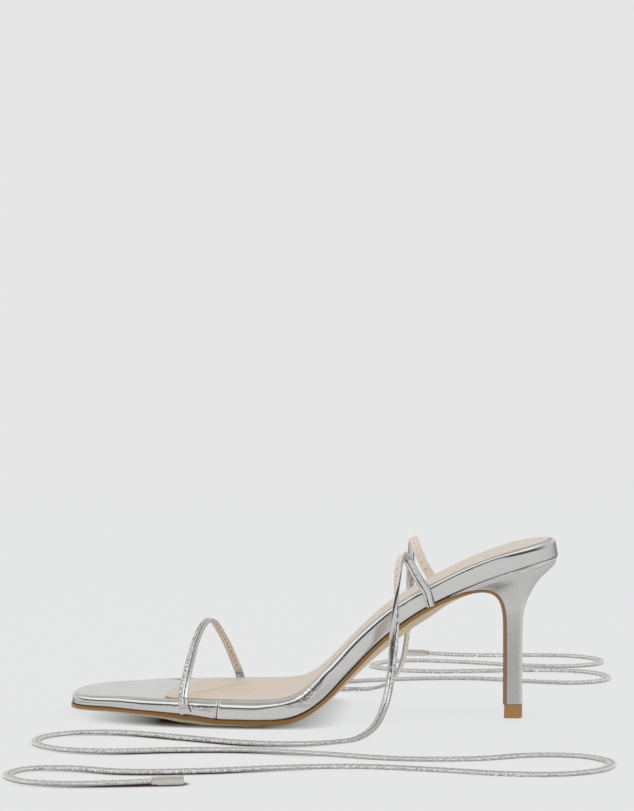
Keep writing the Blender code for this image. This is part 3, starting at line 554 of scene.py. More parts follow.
def strap_surface(line, along, face, width, thickness, seam_at, folds, crackle, laid=0.0):
    """A folded strap: a pillow section carried along its line.

    The section is a superellipse, rounder on the silver face than on the lining, with one lobe
    on each side of the sewn seam. A bell-shaped groove runs along that seam on both faces,
    deepest at each stitch. One lobe is crumpled, and the other is pulled smooth. crackle is how
    far it is cracked along its length, and it is none on the plain lasted ends, where the seam
    fades too. laid is where it lies on the floor; there its folded edges get a painted highlight
    and the side under them painted shade. The first and last rings close to a point inside the strap.
    """
    _, face, across = strap_frame(line, face)
    beside_seam = seam_at + np.array((-0.09, -0.045, 0.0, 0.045, 0.09))
    u = np.unique(np.concatenate([-0.5 * np.cos(np.linspace(0.0, np.pi, 19)), beside_seam]))
    sewn = ramp(crackle, 0.0, 0.25)[:, None]
    power = 7.0 - 4.0 * sewn
    outer = 0.5 * (1.0 - np.abs(2.0 * u) ** power) ** (1.0 / power)
    inner = -0.5 * (1.0 - np.abs(2.0 * u) ** 5.0) ** 0.2 + 0.0 * outer
    fold = len(u)
    u = np.concatenate([u, u[1:-1][::-1]])
    v = np.concatenate([outer, inner[:, 1:-1][:, ::-1]], axis=1)
    shown = np.clip(2.0 * v, -1.0, 1.0)
    silver = shown > 0.0
    width, thickness, laid = (np.broadcast_to(value, len(line))[:, None]
                              for value in (width, thickness, laid))
    pull = 0.7 + 0.3 * np.cos(2.0 * np.pi * along / STITCH_PITCH)[:, None]
    groove = bell(u, seam_at, 0.07) * pull * np.where(silver, 0.26, -0.12) * sewn
    loose = ramp(u, seam_at - 0.10, seam_at - 0.18)
    rough = folds[:, None] * (0.25 + 0.75 * loose) * crumple(along[:, None], u * width)
    rough = rough * ramp(shown, 0.0, 0.5)
    lift = v * thickness - groove * thickness + rough
    points = line[:, None] + across[:, None] * (u * width)[..., None]
    points = points + face[:, None] * lift[..., None]
    ends = np.repeat(line[[0, -1], None], len(u), axis=1)
    lining = (np.arange(len(u)) >= fold + 1) & (np.arange(len(u)) <= len(u) - 3)
    # Painted shade on the folded edges (less where laid), in the seam and under a laid tie; painted
    # highlight in strips beside the seam and on a laid tie's shoulders
    edge = ramp(np.abs(2.0 * u), 0.9, 1.0) ** 2
    crease = bell(u, seam_at, 0.055) * silver * sewn
    strips = bell(u, seam_at - 0.12, 0.05) + 0.6 * bell(u, seam_at + 0.17, 0.08)
    painted_lighting = laid * bell(np.abs(2.0 * u), 0.9, 0.08) * silver
    under = laid * ramp(shown, -0.125, -0.75)
    painted_shade_amount = (0.9 - 0.45 * sewn) * edge * (1.0 - laid) + 0.95 * crease + 0.85 * under
    values = {"crackle": np.maximum(0.06 + 0.94 * loose, 0.5 * laid) * crackle[:, None],
              "gleam": np.clip(0.8 * strips * silver * sewn + 0.9 * painted_lighting, 0.0, 1.0),
              "shade": np.clip(painted_shade_amount, 0.0, 1.0)}
    values = {key: np.concatenate([value[:1], value, value[-1:]]) for key, value in values.items()}
    return np.concatenate([ends[:1], points, ends[1:]]), lining, values


def stitch_row(line, along, face, width, lift, seam_at, start, stop):
    """Stitches: small lozenges, round across and tapered to both ends, one for each pitch."""
    at = np.arange(start, stop, STITCH_PITCH)
    spot = at_distance(line, along, at)
    ahead, out, across = (at_distance(d, along, at)[:, None] for d in strap_frame(line, face))
    run = np.array((-1.0, -0.72, 0.0, 0.72, 1.0))[:, None]
    fat = np.array((0.3, 0.85, 1.0, 0.85, 0.3))[:, None]
    rings, sides = len(run), 6
    turn = np.linspace(0.0, 2.0 * np.pi, sides, endpoint=False)[None, :]
    long, wide, high = (0.5 * size for size in STITCH)
    local = np.stack([long * run + 0.0 * turn, wide * fat * np.cos(turn),
                      high * fat * np.sin(turn)], axis=-1)
    aside = seam_at * np.interp(at, along, np.broadcast_to(width, len(along)))
    above = np.interp(at, along, np.broadcast_to(lift, len(along)))
    local = local.reshape(-1, 3) + np.stack([0.0 * at, aside, above], axis=-1)[:, None]
    points = spot[:, None] + local[..., :1] * ahead + local[..., 1:2] * across + local[..., 2:] * out
    first = (np.arange(len(at)) * rings * sides)[:, None, None]
    quads = (first + grid_faces(rings, sides, closed=True)).reshape(-1, 4)
    caps = (first + np.arange(rings * sides).reshape(rings, sides)[[0, -1]]).reshape(-1, sides)
    return points.reshape(-1, 3), quads, caps


def leather_lining(name, light, dark, grain):
    """Beige lining leather: matt, with a fine even grain and worn tones, and painted shade in its
    creases.
    """
    material, tree, shader, place = new_finish(name)
    cloud = add(tree, "TexNoise", {"Vector": place, "Scale": 1000.0 / 9.0, "Detail": 4.0,
                                   "Roughness": 0.55})
    tone = add(tree, "Mix", {0: cloud.outputs["Fac"], 6: to_linear(dark), 7: to_linear(light)},
               data_type="RGBA")
    crease = add(tree, "Attribute", attribute_name="crease").outputs["Fac"]
    # Painted shade: a darker beige where the crease value says
    painted_lighting = add(tree, "Mix", {0: crease, 6: tone.outputs[2], 7: to_linear("#a8937f")},
                 data_type="RGBA")
    pore = add(tree, "TexVoronoi", {"Vector": place, "Scale": 1000.0 / grain}, feature="SMOOTH_F1")
    pore = pore.outputs["Distance"]
    dull = add(tree, "MapRange", {"Value": pore, "From Min": 0.1, "From Max": 0.7,
                                  "To Min": 0.62, "To Max": 0.5})
    dent = add(tree, "Bump", {"Height": pore, "Distance": 0.02 * MM, "Strength": 0.8})
    plug(tree, shader, {"Base Color": painted_lighting.outputs[2], "Roughness": dull.outputs[0],
                        "Normal": dent.outputs[0], "Sheen Weight": 0.08})
    return material


def sewing_thread(name, dark, light):
    """Twisted polyester thread: satin, with its plies showing as slanted ribs 0.5 mm apart."""
    material, tree, shader, place = new_finish(name)
    ply = add(tree, "TexWave", {"Vector": place, "Scale": 1000.0 / 0.5 / 6.28, "Distortion": 1.5},
              bands_direction="DIAGONAL").outputs["Fac"]
    tone = add(tree, "ValToRGB", {"Fac": ply},
               stops=((0.1, to_linear(dark)), (0.8, to_linear(light))))
    rib = add(tree, "Bump", {"Height": ply, "Distance": 0.04 * MM, "Strength": 0.7})
    plug(tree, shader, {"Base Color": tone.outputs[0], "Normal": rib.outputs[0], "Roughness": 0.45})
    return material


strap_silver = silver_foiled_leather("silver_foiled_leather_strap", "#dddcda", "#cfcdca",
                                     rough=(0.1, 0.17), grain=(0.6, 0.008), folds=(0.55, 0.3))
strap_lining = leather_lining("beige_lining_leather_strap", "#efe0d2", "#e2d2c2", 0.5)
strap_thread = sewing_thread("grey_polyester_thread", "#5d574f", "#8a847b")

line, run = smooth_route(ARCH[:, :3])
arch_at = np.arange(0.6, run[-1], 0.4)
arch_line = at_distance(line, run, arch_at)
arch_width, arch_thick = (np.interp(arch_at, run[::SPAN_STEPS], ARCH[:, k]) for k in (3, 4))
arch_face = arch_line - ARCH_INSIDE
# The ends lie flat on the band's wall, which narrows to the toe, and are plain there
arch_height = arch_line[:, 2]
arch_line[:, 1] -= ON_WALL * np.sign(arch_line[:, 1]) * ramp(arch_height, SEWN_ABOVE, PLAIN_BELOW)
lasted = ramp(arch_height, FREE_ABOVE, FLAT_BELOW)
arch_face[:, 0] = -0.16 * np.abs(arch_face[:, 1]) * lasted
arch_face[:, 2] *= 1.0 - lasted
free = ramp(arch_height, PLAIN_BELOW, SEWN_ABOVE)
points, lining, values = strap_surface(arch_line, arch_at, arch_face, arch_width, arch_thick, SEAM_AT,
                                       folds=0.02 + 0.08 * free, crackle=free)
strap_faces = grid_faces(*points.shape[:2], closed=True)
corner = strap_faces[:, 0]
lined = lining[corner % points.shape[1]] & (points[..., 2].ravel()[corner] > FREE_ABOVE)
toe_strap = put_piece("toe_strap_folded", points, [strap_faces], [strap_silver, strap_lining],
                      slots=lined, values=values)
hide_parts("toe_strap")

spots, *faces = stitch_row(arch_line, arch_at, arch_face, arch_width, -0.42 * arch_thick, SEAM_AT,
                           start=ARCH_SEWN[0], stop=run[-1] - ARCH_SEWN[1])
toe_stitches = put_piece("toe_strap_stitches", spots, faces, [strap_thread])


# Ties
# Two long straps made as the toe strap is, lasted on the band at the waist, one on each side.
# They are undone: each stands up past the rim, falls outwards, turns over once and lies on the floor.

TIE_WIDTH, TIE_THICK, TIE_ROOT_THICK, TIE_REST = 4.2, 1.8, 1.4, 1.1
TIE_POINTS, TIE_STEP, TIE_TURN = 94, 24.0, 0.36   # joints of the solid, and their spacing and turn
TIE_SEAM_AT, TIE_STITCH_AT = -0.16, 0.06
TWIST_FROM, TWIST_TO = 44.0, 88.0
ROOT_FLAT, ROOT_FREE = 7.0, 11.0       # the root leaves the band's wall between these distances
SEWN_FROM, SEWN_SHORT = 13.0, 3.0      # its stitches start here, and stop this far from its end
LAID_IN = 15.0                         # it lies flat this far behind where it lands
TIP_WIDTH, TIP_HEIGHT = 4.9, 3.2
MEDIAL_FALL = (
    (56.6, -23.4, 54.0), (55.5, -23.5, 57.6), (54.2, -23.8, 61.4), (50.8, -24.4, 67.0),
    (46.8, -27.9, 74.8), (44.6, -35.6, 78.8), (43.4, -43.4, 75.8), (42.7, -46.8, 67.6),
    (42.1, -48.4, 55.0), (41.3, -49.8, 41.0), (40.2, -51.8, 27.0), (38.0, -55.6, 14.6),
    (33.8, -62.4, 5.6), (27.0, -71.4, 1.6),
)
MEDIAL_FLOOR = (
    (18, -79), (1, -85), (-22, -84), (-50, -74), (-78, -65), (-99, -67), (-112, -79),
    (-112, -95), (-100, -107), (-78, -110), (-50, -104), (-20, -101), (14, -107), (48, -115),
    (80, -112), (106, -101), (126, -102), (137, -114), (134, -130), (120, -141), (97, -144),
    (66, -138), (34, -134), (2, -139), (-30, -149), (-62, -154), (-88, -149), (-104, -153),
    (-109, -166), (-101, -178), (-84, -182), (-62, -179), (-48, -176),
)
LATERAL_FALL = (
    (56.6, 26.6, 54.0), (55.5, 26.6, 57.6), (54.2, 26.8, 61.4), (50.8, 27.4, 67.0),
    (46.8, 30.9, 74.8), (44.6, 38.6, 78.8), (43.6, 46.4, 75.8), (42.9, 49.8, 67.6),
    (42.3, 51.4, 55.0), (41.5, 52.6, 41.0), (40.2, 54.2, 27.0), (37.4, 57.2, 14.6),
    (31.6, 61.6, 5.6), (22.4, 65.4, 1.6),
)
LATERAL_FLOOR = (
    (12, 66.5), (-10, 63), (-38, 56), (-66, 52), (-86, 52), (-98, 58), (-100, 70), (-90, 79),
    (-72, 82), (-48, 80), (-22, 81), (8, 90), (40, 102), (72, 106), (102, 99), (122, 97),
    (136, 106), (138, 122), (127, 134), (106, 137), (78, 132), (50, 127), (28, 131), (17, 143),
    (22, 157), (38, 164), (64, 161), (92, 153), (118, 152), (133, 161), (135, 176), (124, 187),
    (104, 190), (80, 187), (58, 186), (44, 187),
)


def tie_route(fall, floor):
    """A tie's smooth middle line, the distance along it, and where it reaches the floor."""
    heights = [TIE_REST] * (len(floor) - 2) + [TIE_REST + 0.2, 0.5 * TIP_HEIGHT + 0.15]
    line, run = smooth_route(list(fall) + [(x, y, z) for (x, y), z in zip(floor, heights)])
    return line, run, run[SPAN_STEPS * len(fall)]


def tie_twist(at):
    """Smooth step: the share of a tie's half turn that is done at distances along it."""
    return smooth_step(at, TWIST_FROM, TWIST_TO)


def tie_faces(line, run, landed, side):
    """Where the silver face looks along a tie.

    It starts outwards, is carried from joint to joint of the solid without turning about the
    line, and gets an extra turn just below the bend, so that it looks up on the floor.
    """
    ahead = unit(np.gradient(line, axis=0))
    turned = np.linalg.norm(np.diff(ahead, axis=0), axis=1) + math.pi * np.diff(tie_twist(run))
    effort = running_sum(np.diff(run) / TIE_STEP + turned / TIE_TURN)
    at = np.interp(np.linspace(0.0, effort[-1], TIE_POINTS), effort, run)
    ahead = unit(np.gradient(at_distance(line, run, at), axis=0))
    face = [np.array((0.0, side, 0.0))]
    for step in ahead:
        face.append(unit(face[-1] - step * np.dot(face[-1], step)))
    face = np.array(face[1:])
    k = int(np.searchsorted(at, landed))
    needed = math.atan2(np.cross(ahead[k], face[k])[2], face[k][2])
    angle = needed * tie_twist(at)[:, None]
    turned = face * np.cos(angle) + np.cross(ahead, face) * np.sin(angle)
    turned[at >= landed] = (0.0, 0.0, 1.0)
    return at, turned


def make_tie(label, fall, floor, side):
    """Strap surface, stitches, path and length of one tie."""
    line, run, landed = tie_route(fall, floor)
    joints, turned = tie_faces(line, run, landed, side)
    at = np.linspace(0.0, run[-1], int(run[-1] / 0.9))
    middle = at_distance(line, run, at)
    # The root lies on the band's wall
    middle[:, 1] -= side * (1.0 + 0.25 * side) * ramp(at, ROOT_FREE, ROOT_FLAT)
    face = at_distance(turned, joints, at)
    thick = TIE_ROOT_THICK + (TIE_THICK - TIE_ROOT_THICK) * ramp(at, 6.0, 14.0)
    patches = 0.5 + 0.3 * np.sin(at / 23.0 + side) + 0.2 * np.sin(at / 9.7)
    crackle = ramp(at, 0.5, 2.0) * np.where(at < 60.0, 0.3, np.clip(patches, 0.25, 1.0))
    points, lining, values = strap_surface(middle, at, face, TIE_WIDTH, thick, TIE_SEAM_AT,
                                           folds=np.full(len(at), 0.06), crackle=crackle,
                                           laid=ramp(at, landed, landed + LAID_IN))
    faces = grid_faces(*points.shape[:2], closed=True)
    tie = put_piece("tie_%s_folded" % label, points, [faces], [strap_silver, strap_lining],
                    slots=lining[faces[:, 0] % points.shape[1]], values=values)
    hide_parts("tie_" + label)
    outer, inner = (stitch_row(middle, at, face, TIE_WIDTH, lift * thick, TIE_STITCH_AT,
                               start=SEWN_FROM, stop=run[-1] - SEWN_SHORT) for lift in (0.45, -0.45))
    shift = len(outer[0])
    stitches = put_piece("tie_%s_stitches" % label, np.concatenate([outer[0], inner[0]]),
                         [outer[1], outer[2], inner[1] + shift, inner[2] + shift], [strap_thread])
    return tie, stitches, (middle - MIDDLE) * MM, run[-1] * MM


ties = [("medial", MEDIAL_FALL, make_tie("medial", MEDIAL_FALL, MEDIAL_FLOOR, -1.0)),
        ("lateral", LATERAL_FALL, make_tie("lateral", LATERAL_FALL, LATERAL_FLOOR, 1.0))]


# Tie ends
# A plain plated bar crimped on the end of each tie: a narrower neck holds the strap, and the
# body is a rectangular bar with softened edges and a flat polished end.

TIP_PROFILE = np.array((   # along, share of the width, share of the height
    (0.0, 0.80, 0.72), (0.12, 0.87, 0.80), (0.4, 0.91, 0.85), (0.9, 0.91, 0.85), (1.15, 0.86, 0.79),
    (1.45, 0.86, 0.79), (1.7, 0.91, 0.85), (2.25, 0.92, 0.86), (2.42, 0.97, 0.95), (2.7, 1.0, 1.0),
    (5.0, 1.0, 1.0), (9.0, 1.0, 1.0), (12.2, 1.0, 1.0), (12.6, 0.985, 0.975), (12.85, 0.95, 0.92),
    (13.0, 0.88, 0.8),
))


def nickel_plate(name):
    """Bright nickel plate: mirror-like and slightly warm, with a haze from rubbing and hair
    scratches.
    """
    material, tree, shader, place = new_finish(name)
    haze = add(tree, "TexNoise", {"Vector": place, "Scale": 1000.0 / 3.0, "Detail": 4.0})
    haze = haze.outputs["Fac"]
    tone = add(tree, "Mix", {0: haze, 6: to_linear("#c6c0b8"), 7: to_linear("#dad6d0")},
               data_type="RGBA")
    dull = add(tree, "MapRange", {"Value": haze, "From Min": 0.35, "From Max": 0.7,
                                  "To Min": 0.04, "To Max": 0.1})
    drawn = add(tree, "Mapping", {"Vector": place, "Scale": (120.0, 3000.0, 3000.0)})
    hair = add(tree, "TexNoise", {"Vector": drawn.outputs[0], "Scale": 1.0, "Detail": 2.0})
    scratch = add(tree, "Bump", {"Height": hair.outputs["Fac"], "Distance": 0.003 * MM,
                                 "Strength": 0.4})
    plug(tree, shader, {"Base Color": tone.outputs[2], "Roughness": dull.outputs[0],
                        "Normal": scratch.outputs[0], "Metallic": 1.0})
    return material


def make_tie_end(label, path):
    """A superellipse section carried along the bar, its size taken from the profile's rows."""
    ahead = unit((path[-1] - path[-2]) * (1.0, 1.0, 0.0))
    across = np.array((-ahead[1], ahead[0], 0.0))
    mouth = path[-1] / MM + MIDDLE + ahead * CLEAR
    mouth[2] = 0.5 * TIP_HEIGHT + 0.15
    turn = np.linspace(0.0, 2.0 * np.pi, 48, endpoint=False)
    u, v = (0.5 * size * np.sign(wave) * np.abs(wave) ** 0.3
            for size, wave in ((TIP_WIDTH, np.cos(turn)), (TIP_HEIGHT, np.sin(turn))))
    size = np.concatenate([TIP_PROFILE[:1], TIP_PROFILE, TIP_PROFILE[-1:]])
    size[[0, -1], 1:] = 0.0
    points = (mouth + ahead * size[:, None, :1]) + across * (u * size[:, 1:2])[..., None]
    points[..., 2] += v * size[:, 2:3]
    end = put_piece("tie_end_%s_plated" % label, points, [grid_faces(*points.shape[:2], closed=True)],
                    [tip_nickel], sharp=35.0)
    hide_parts("tie_end_" + label)
    return end


tip_nickel = nickel_plate("bright_nickel_plate")
for label, fall, (tie, stitches, path, length) in ties:
    end = make_tie_end(label, path)


# Outsole
# A thin moulded sole glued under the wrap. Its trimmed edge is painted tan, its underside is left
# cream, and behind the waist it turns down the front of the heel to the top piece.

WELT, WELT_FADE = 0.4, (218.0, 188.0)   # how far it stands out, and where that ends in the breast
FLAT_TO, FLAT_FULL = 115.0, 90.0        # its underside is flatter in front of these
BREAST_FROM = 186.0
BREAST = np.array((   # along, pitch, medial, lateral, edge, belly
    (196.0, 23.0, 22.2, 24.2, 1.75, 2.0), (202.7, 16.0, 20.9, 22.2, 1.65, 1.3),
    (208.6, 7.0, 18.4, 19.0, 1.55, 0.7), (213.6, -7.0, 15.6, 15.9, 1.5, 0.4),
    (218.1, -29.0, 12.3, 12.5, 1.5, 0.2), (222.6, -56.0, 9.4, 9.4, 1.55, 0.1),
    (227.6, -76.0, 7.3, 7.3, 1.6, 0.0), (235.6, -88.0, 5.8, 5.8, 1.65, 0.0),
    (244.6, -90.0, 5.2, 5.2, 1.7, 0.0), (273.9, -90.0, 4.7, 4.7, 1.7, 0.0),
))
FOREPART = SOLE[SOLE[:, ALONG] < BREAST_FROM]
OUTSOLE = np.concatenate([FOREPART[:, [ALONG, PITCH, MEDIAL, LATERAL, EDGE, BELLY]], BREAST])
# Where the tan paint ends, as a share of the edge's thickness
PAINT = np.array(((0.0, 0.80), (25.0, 0.70), (52.0, 0.58), (66.0, 0.60), (80.0, 0.80), (100.0, 0.92),
                  (125.0, 0.9), (160.0, 0.94), (190.0, 1.0), (205.0, 1.1), (274.0, 1.1)))

sole_at = np.concatenate([stations[stations < BREAST_FROM],
                          np.arange(BREAST_FROM, OUTSOLE[-1, 0], 0.5), OUTSOLE[-1:, 0]])
near, far = half_outline(np.minimum(sole_at, BREAST_FROM))
near = np.where(sole_at >= BREAST_FROM, -smooth_column(OUTSOLE, 2, sole_at), near)
far = np.where(sole_at >= BREAST_FROM, smooth_column(OUTSOLE, 3, sole_at), far)
# The edge follows the set-in foot of the band, and stands out by the welt
near_foot = foot[:len(stations)]
far_foot = np.concatenate([foot[:1], foot[len(stations):][::-1], foot[:1]])
trim = np.stack([np.interp(sole_at, stations, edge) for edge in (near_foot, far_foot)])
trim = (np.clip(trim - 0.35, 0.0, None) - WELT) * ramp(sole_at, *WELT_FADE)
sole_ring = np.concatenate([np.stack([sole_at, near], axis=1),
                            np.stack([sole_at, far], axis=1)[::-1]])
ends = pulled_in(sole_ring, np.concatenate([trim[0], trim[1][::-1]]))
near, far = ends[:len(sole_at)], ends[len(sole_at):][::-1]

# Round one section: across the top, down the lateral edge, across the underside, up the medial edge
drop = np.linspace(0.0, 1.0, 9)
below = 0.5 + 0.5 * np.cos(np.linspace(0.0, np.pi, 41))[1:-1]
across = np.concatenate([(0.0, 0.5), np.ones(9), below, np.zeros(8)])
edge_share = np.concatenate([(0.0, 0.0), drop, np.ones(39), drop[:0:-1]])
under = np.concatenate([np.zeros(11), np.ones(39), np.zeros(8)])
edge, belly = (smooth_column(OUTSOLE, k, sole_at)[:, None] for k in (4, 5))
flat = ramp(sole_at, FLAT_TO, FLAT_FULL)[:, None]
reach = np.abs(2.0 * across - 1.0)
bulge = 0.10 * np.sin(np.pi * edge_share) * (1.0 - under) * np.where(across > 0.5, 1.0, -1.0)
depth = belly * ((1.0 - reach**5) * (1.0 - flat) + (1.0 - reach**8) * flat) * under
depth = edge * edge_share + depth
part = across[None, :, None]
sole_plan = near[:, None] * (1.0 - part) + far[:, None] * part
sole_plan[..., 1] += bulge * np.minimum(1.0, sole_at / 6.0)[:, None]
sole_points = over_line(OUTSOLE, sole_plan[..., 0], sole_plan[..., 1], -depth - CLEAR)
sole_points[..., 2] = np.maximum(sole_points[..., 2], 0.0)
painted = edge_share - smooth_column(PAINT, 1, sole_at)[:, None] + under * 0.6
no_seam_shade = 0.16 * ramp(sole_at, 108.0, 93.0)[:, None]   # no painted shade at the top of the edge in front


def painted_sole_edge(name):
    """Moulded sole: a glossy tan painted edge, with painted shade at its top where it meets the wrap,
    over matt cream.

    The paint was trimmed by hand, so its lower border wanders a little, and scuffs lighten it.
    """
    material, tree, shader, place = new_finish(name)
    level, top = (add(tree, "Attribute", attribute_name=key).outputs["Fac"]
                  for key in ("paint_level", "edge_share"))
    wander = add(tree, "TexNoise", {"Vector": place, "Scale": 1000.0 / 6.0, "Detail": 3.0})
    wander = wander.outputs["Fac"]
    moved = add(tree, "Math", {0: wander, 1: 0.16, 2: level}, operation="MULTIPLY_ADD").outputs[0]
    bare = add(tree, "MapRange", {"Value": moved, "From Min": 0.05, "From Max": 0.13}).outputs[0]
    drawn = add(tree, "Mapping", {"Vector": place, "Scale": (90.0, 90.0, 1400.0)}).outputs[0]
    streak = add(tree, "TexNoise", {"Vector": drawn, "Scale": 1.0, "Detail": 4.0}).outputs["Fac"]
    # The darkest stop, at the top of the edge, is painted shade under the wrap
    tan = add(tree, "ValToRGB", {"Fac": top}, stops=[(at, to_linear(colour)) for at, colour in (
        (0.0, "#5c4425"), (0.16, "#946b3a"), (0.55, "#9c7646"), (0.9, "#946e40"))])
    worn = add(tree, "MapRange", {"Value": streak, "From Min": 0.55, "From Max": 0.85,
                                  "To Max": 0.35})
    scuffed = add(tree, "Mix", {0: worn.outputs[0], 6: tan.outputs[0], 7: to_linear("#b89e72")},
                  data_type="RGBA")
    cream = add(tree, "Mix", {0: wander, 6: to_linear("#c5b48c"), 7: to_linear("#d3c6a6")},
                data_type="RGBA")
    tone = add(tree, "Mix", {0: bare, 6: scuffed.outputs[2], 7: cream.outputs[2]}, data_type="RGBA")
    dull = add(tree, "MapRange", {"Value": bare, "To Min": 0.34, "To Max": 0.52})
    rub = add(tree, "Bump", {"Height": streak, "Distance": 0.03 * MM, "Strength": 0.8})
    plug(tree, shader, {"Base Color": tone.outputs[2], "Roughness": dull.outputs[0],
                        "Normal": rub.outputs[0]})
    return material


last = (len(sole_at) - 1) * len(across)
outsole = put_piece("outsole_trimmed", sole_points, [
    grid_faces(*sole_points.shape[:2], closed=True), [list(range(last, last + len(across)))],
], [painted_sole_edge("tan_painted_sole")], values={
    "paint_level": painted, "edge_share": np.maximum(edge_share, no_seam_shade)})
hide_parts("outsole")


# Heel
# A moulded plastic heel covered in thinner silver leather, glued and nailed up under the footbed.
# Its cover ends in a thin rolled lip against the band, and is pulled tight down the stem.

HEEL = np.array((   # level, breast, back x, back z, medial, lateral, roundness, camber
    (0, 273.9, 97.9, 6.6, 4.7, 4.7, 3.2, 0.0), (1, 260.5, 97.7, 20.0, 4.7, 4.7, 3.2, 0.0),
    (2, 244.6, 97.8, 36.0, 5.0, 5.0, 3.1, 0.0), (3, 233.5, 98.2, 47.2, 5.9, 5.9, 3.0, 0.0),
    (4, 228.4, 99.1, 52.0, 7.1, 7.1, 2.8, 0.0), (5, 224.8, 100.4, 55.6, 8.7, 8.7, 2.6, 0.0),
    (6, 221.0, 102.7, 60.2, 11.4, 11.5, 2.4, 0.05), (7, 217.0, 105.9, 64.9, 14.6, 14.9, 2.2, 0.15),
    (8, 212.5, 110.3, 69.2, 18.5, 19.1, 2.1, 0.4), (9, 207.0, 113.1, 72.4, 21.2, 22.3, 2.0, 0.75),
    (10, 193.0, 113.7, 75.0, 22.3, 23.7, 2.0, 1.0),
), float)
HEEL_STRAIGHT = 0.54
LIP_DROP, LIP_PROUD = 0.75, 0.28

level = np.concatenate([np.arange(0.0, 9.0, 0.1), np.linspace(9.0, 10.0, 50)])
turn = np.radians(np.linspace(0.0, 90.0, 60))[1:]
share = np.concatenate([np.linspace(0.0, HEEL_STRAIGHT, 60),
                        HEEL_STRAIGHT + (1.0 - HEEL_STRAIGHT) * np.sin(turn)])
seat_from, seat_to = HEEL[-1, 1], FEATHER_LENGTH - 0.6
seat = over_line(SOLE, seat_from + (seat_to - seat_from) * share, 0.0, -CLEAR)
chord = seat[0] + (seat[-1] - seat[0]) * share[:, None]
breast_at, back_x, back_z, medial, lateral, power, camber = (
    smooth_column(HEEL, k, level) for k in range(1, HEEL.shape[1]))
front = over_line(OUTSOLE, breast_at, 0.0, 0.05 - CLEAR)
back = np.stack([back_x, 0.0 * level, back_z], axis=1)
middle = front[:, None] + (back - front)[:, None] * share[None, :, None]
middle = middle + (seat - chord) * camber[:, None, None]
middle[-1] = seat
inward = ramp(share, HEEL_STRAIGHT, 1.0)
keep = (1.0 - inward ** power[:, None]) ** (1.0 / power[:, None])
# Distance under the seam with the band, and the lip of the cover along it
drop = (np.interp(middle[..., 0], seat[:, 0], seat[:, 2]) - middle[..., 2]) * 0.97
lip = LIP_PROUD * bell(drop, LIP_DROP, 0.3) - 0.1 * bell(drop, LIP_DROP + 0.65, 0.25)
halves = []
for width, sign in ((medial, -1.0), (lateral, 1.0)):
    half = middle.copy()
    half[..., 1] = sign * (width[:, None] + lip) * keep
    half[..., 0] += lip * inward**2
    halves.append(half)
heel_points = np.concatenate([halves[0], halves[1][:, :-1][:, ::-1]], axis=1)
ring = heel_points.shape[1]
top_ring = (len(level) - 1) * ring

heel_silver = silver_foiled_leather("silver_foiled_leather_heel", "#d6d5d4", "#cccbca",
                                    rough=(0.25, 0.34), grain=(0.45, 0.014), folds=(1.6, 0.02),
                                    drawn=(0.65, 5.0))
k = np.arange(ring // 2)
strip = np.stack([k, k + 1, ring - 2 - k, ring - 1 - k], axis=1)
drop = np.concatenate([drop, drop[:, :-1][:, ::-1]], axis=1)
back_strip = ramp(np.concatenate([inward, inward[:-1][::-1]]), 0.55, 0.75)
# Painted shade in the seam under the band, and the lower stem painted a little darker; painted
# highlight on the lip and up the back corner
heel = put_piece("heel_covered", heel_points, [
    grid_faces(*heel_points.shape[:2], closed=True), strip[:-1], strip[-1:, :3],
    strip[:-1] + top_ring, strip[-1:, :3] + top_ring,
], [heel_silver], values={
    "shade": ramp(drop, 0.45, -0.05) + 0.14 * ramp(level, 4.0, 2.5)[:, None],
    "gleam": 0.6 * bell(drop, LIP_DROP, 0.25) + 0.3 * back_strip * ramp(level, 6.0, 4.0)[:, None],
    "glance": np.full(drop.shape, 0.4)})
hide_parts("heel")


# Top piece
# A small block of hard tan plastic, moulded with a pin that is driven into the heel. It covers
# the ends of the heel and the outsole, and its lower face wears on the floor.

TOP_FRONT, TOP_BACK, TOP_HALF, TOP_POWER = 89.5, 97.9, 4.9, 3.2
# Height over the floor, and how far the outline is drawn in there
TOP_PROFILE = np.array((
    (0.0, 9.0), (0.0, 0.22), (0.06, 0.08), (0.2, 0.0), (1.5, 0.0), (3.0, 0.02), (4.6, 0.04),
    (6.0, 0.05), (6.2, 0.1), (6.3, 0.28), (6.3, 9.0),
))


def moulded_tan_plastic(name):
    """Hard moulded plastic: even tan, satin, with fine spark-eroded texture."""
    material, tree, shader, place = new_finish(name)
    cloud = add(tree, "TexNoise", {"Vector": place, "Scale": 1000.0 / 4.0, "Detail": 4.0})
    tone = add(tree, "Mix", {0: cloud.outputs["Fac"], 6: to_linear("#9c7440"),
                             7: to_linear("#b68c56")}, data_type="RGBA")
    grit = add(tree, "TexNoise", {"Vector": place, "Scale": 1000.0 / 0.5, "Detail": 2.0})
    grit = grit.outputs["Fac"]
    dull = add(tree, "MapRange", {"Value": grit, "To Min": 0.36, "To Max": 0.56})
    bite = add(tree, "Bump", {"Height": grit, "Distance": 0.02 * MM, "Strength": 0.7})
    plug(tree, shader, {"Base Color": tone.outputs[2], "Roughness": dull.outputs[0],
                        "Normal": bite.outputs[0]})
    return material


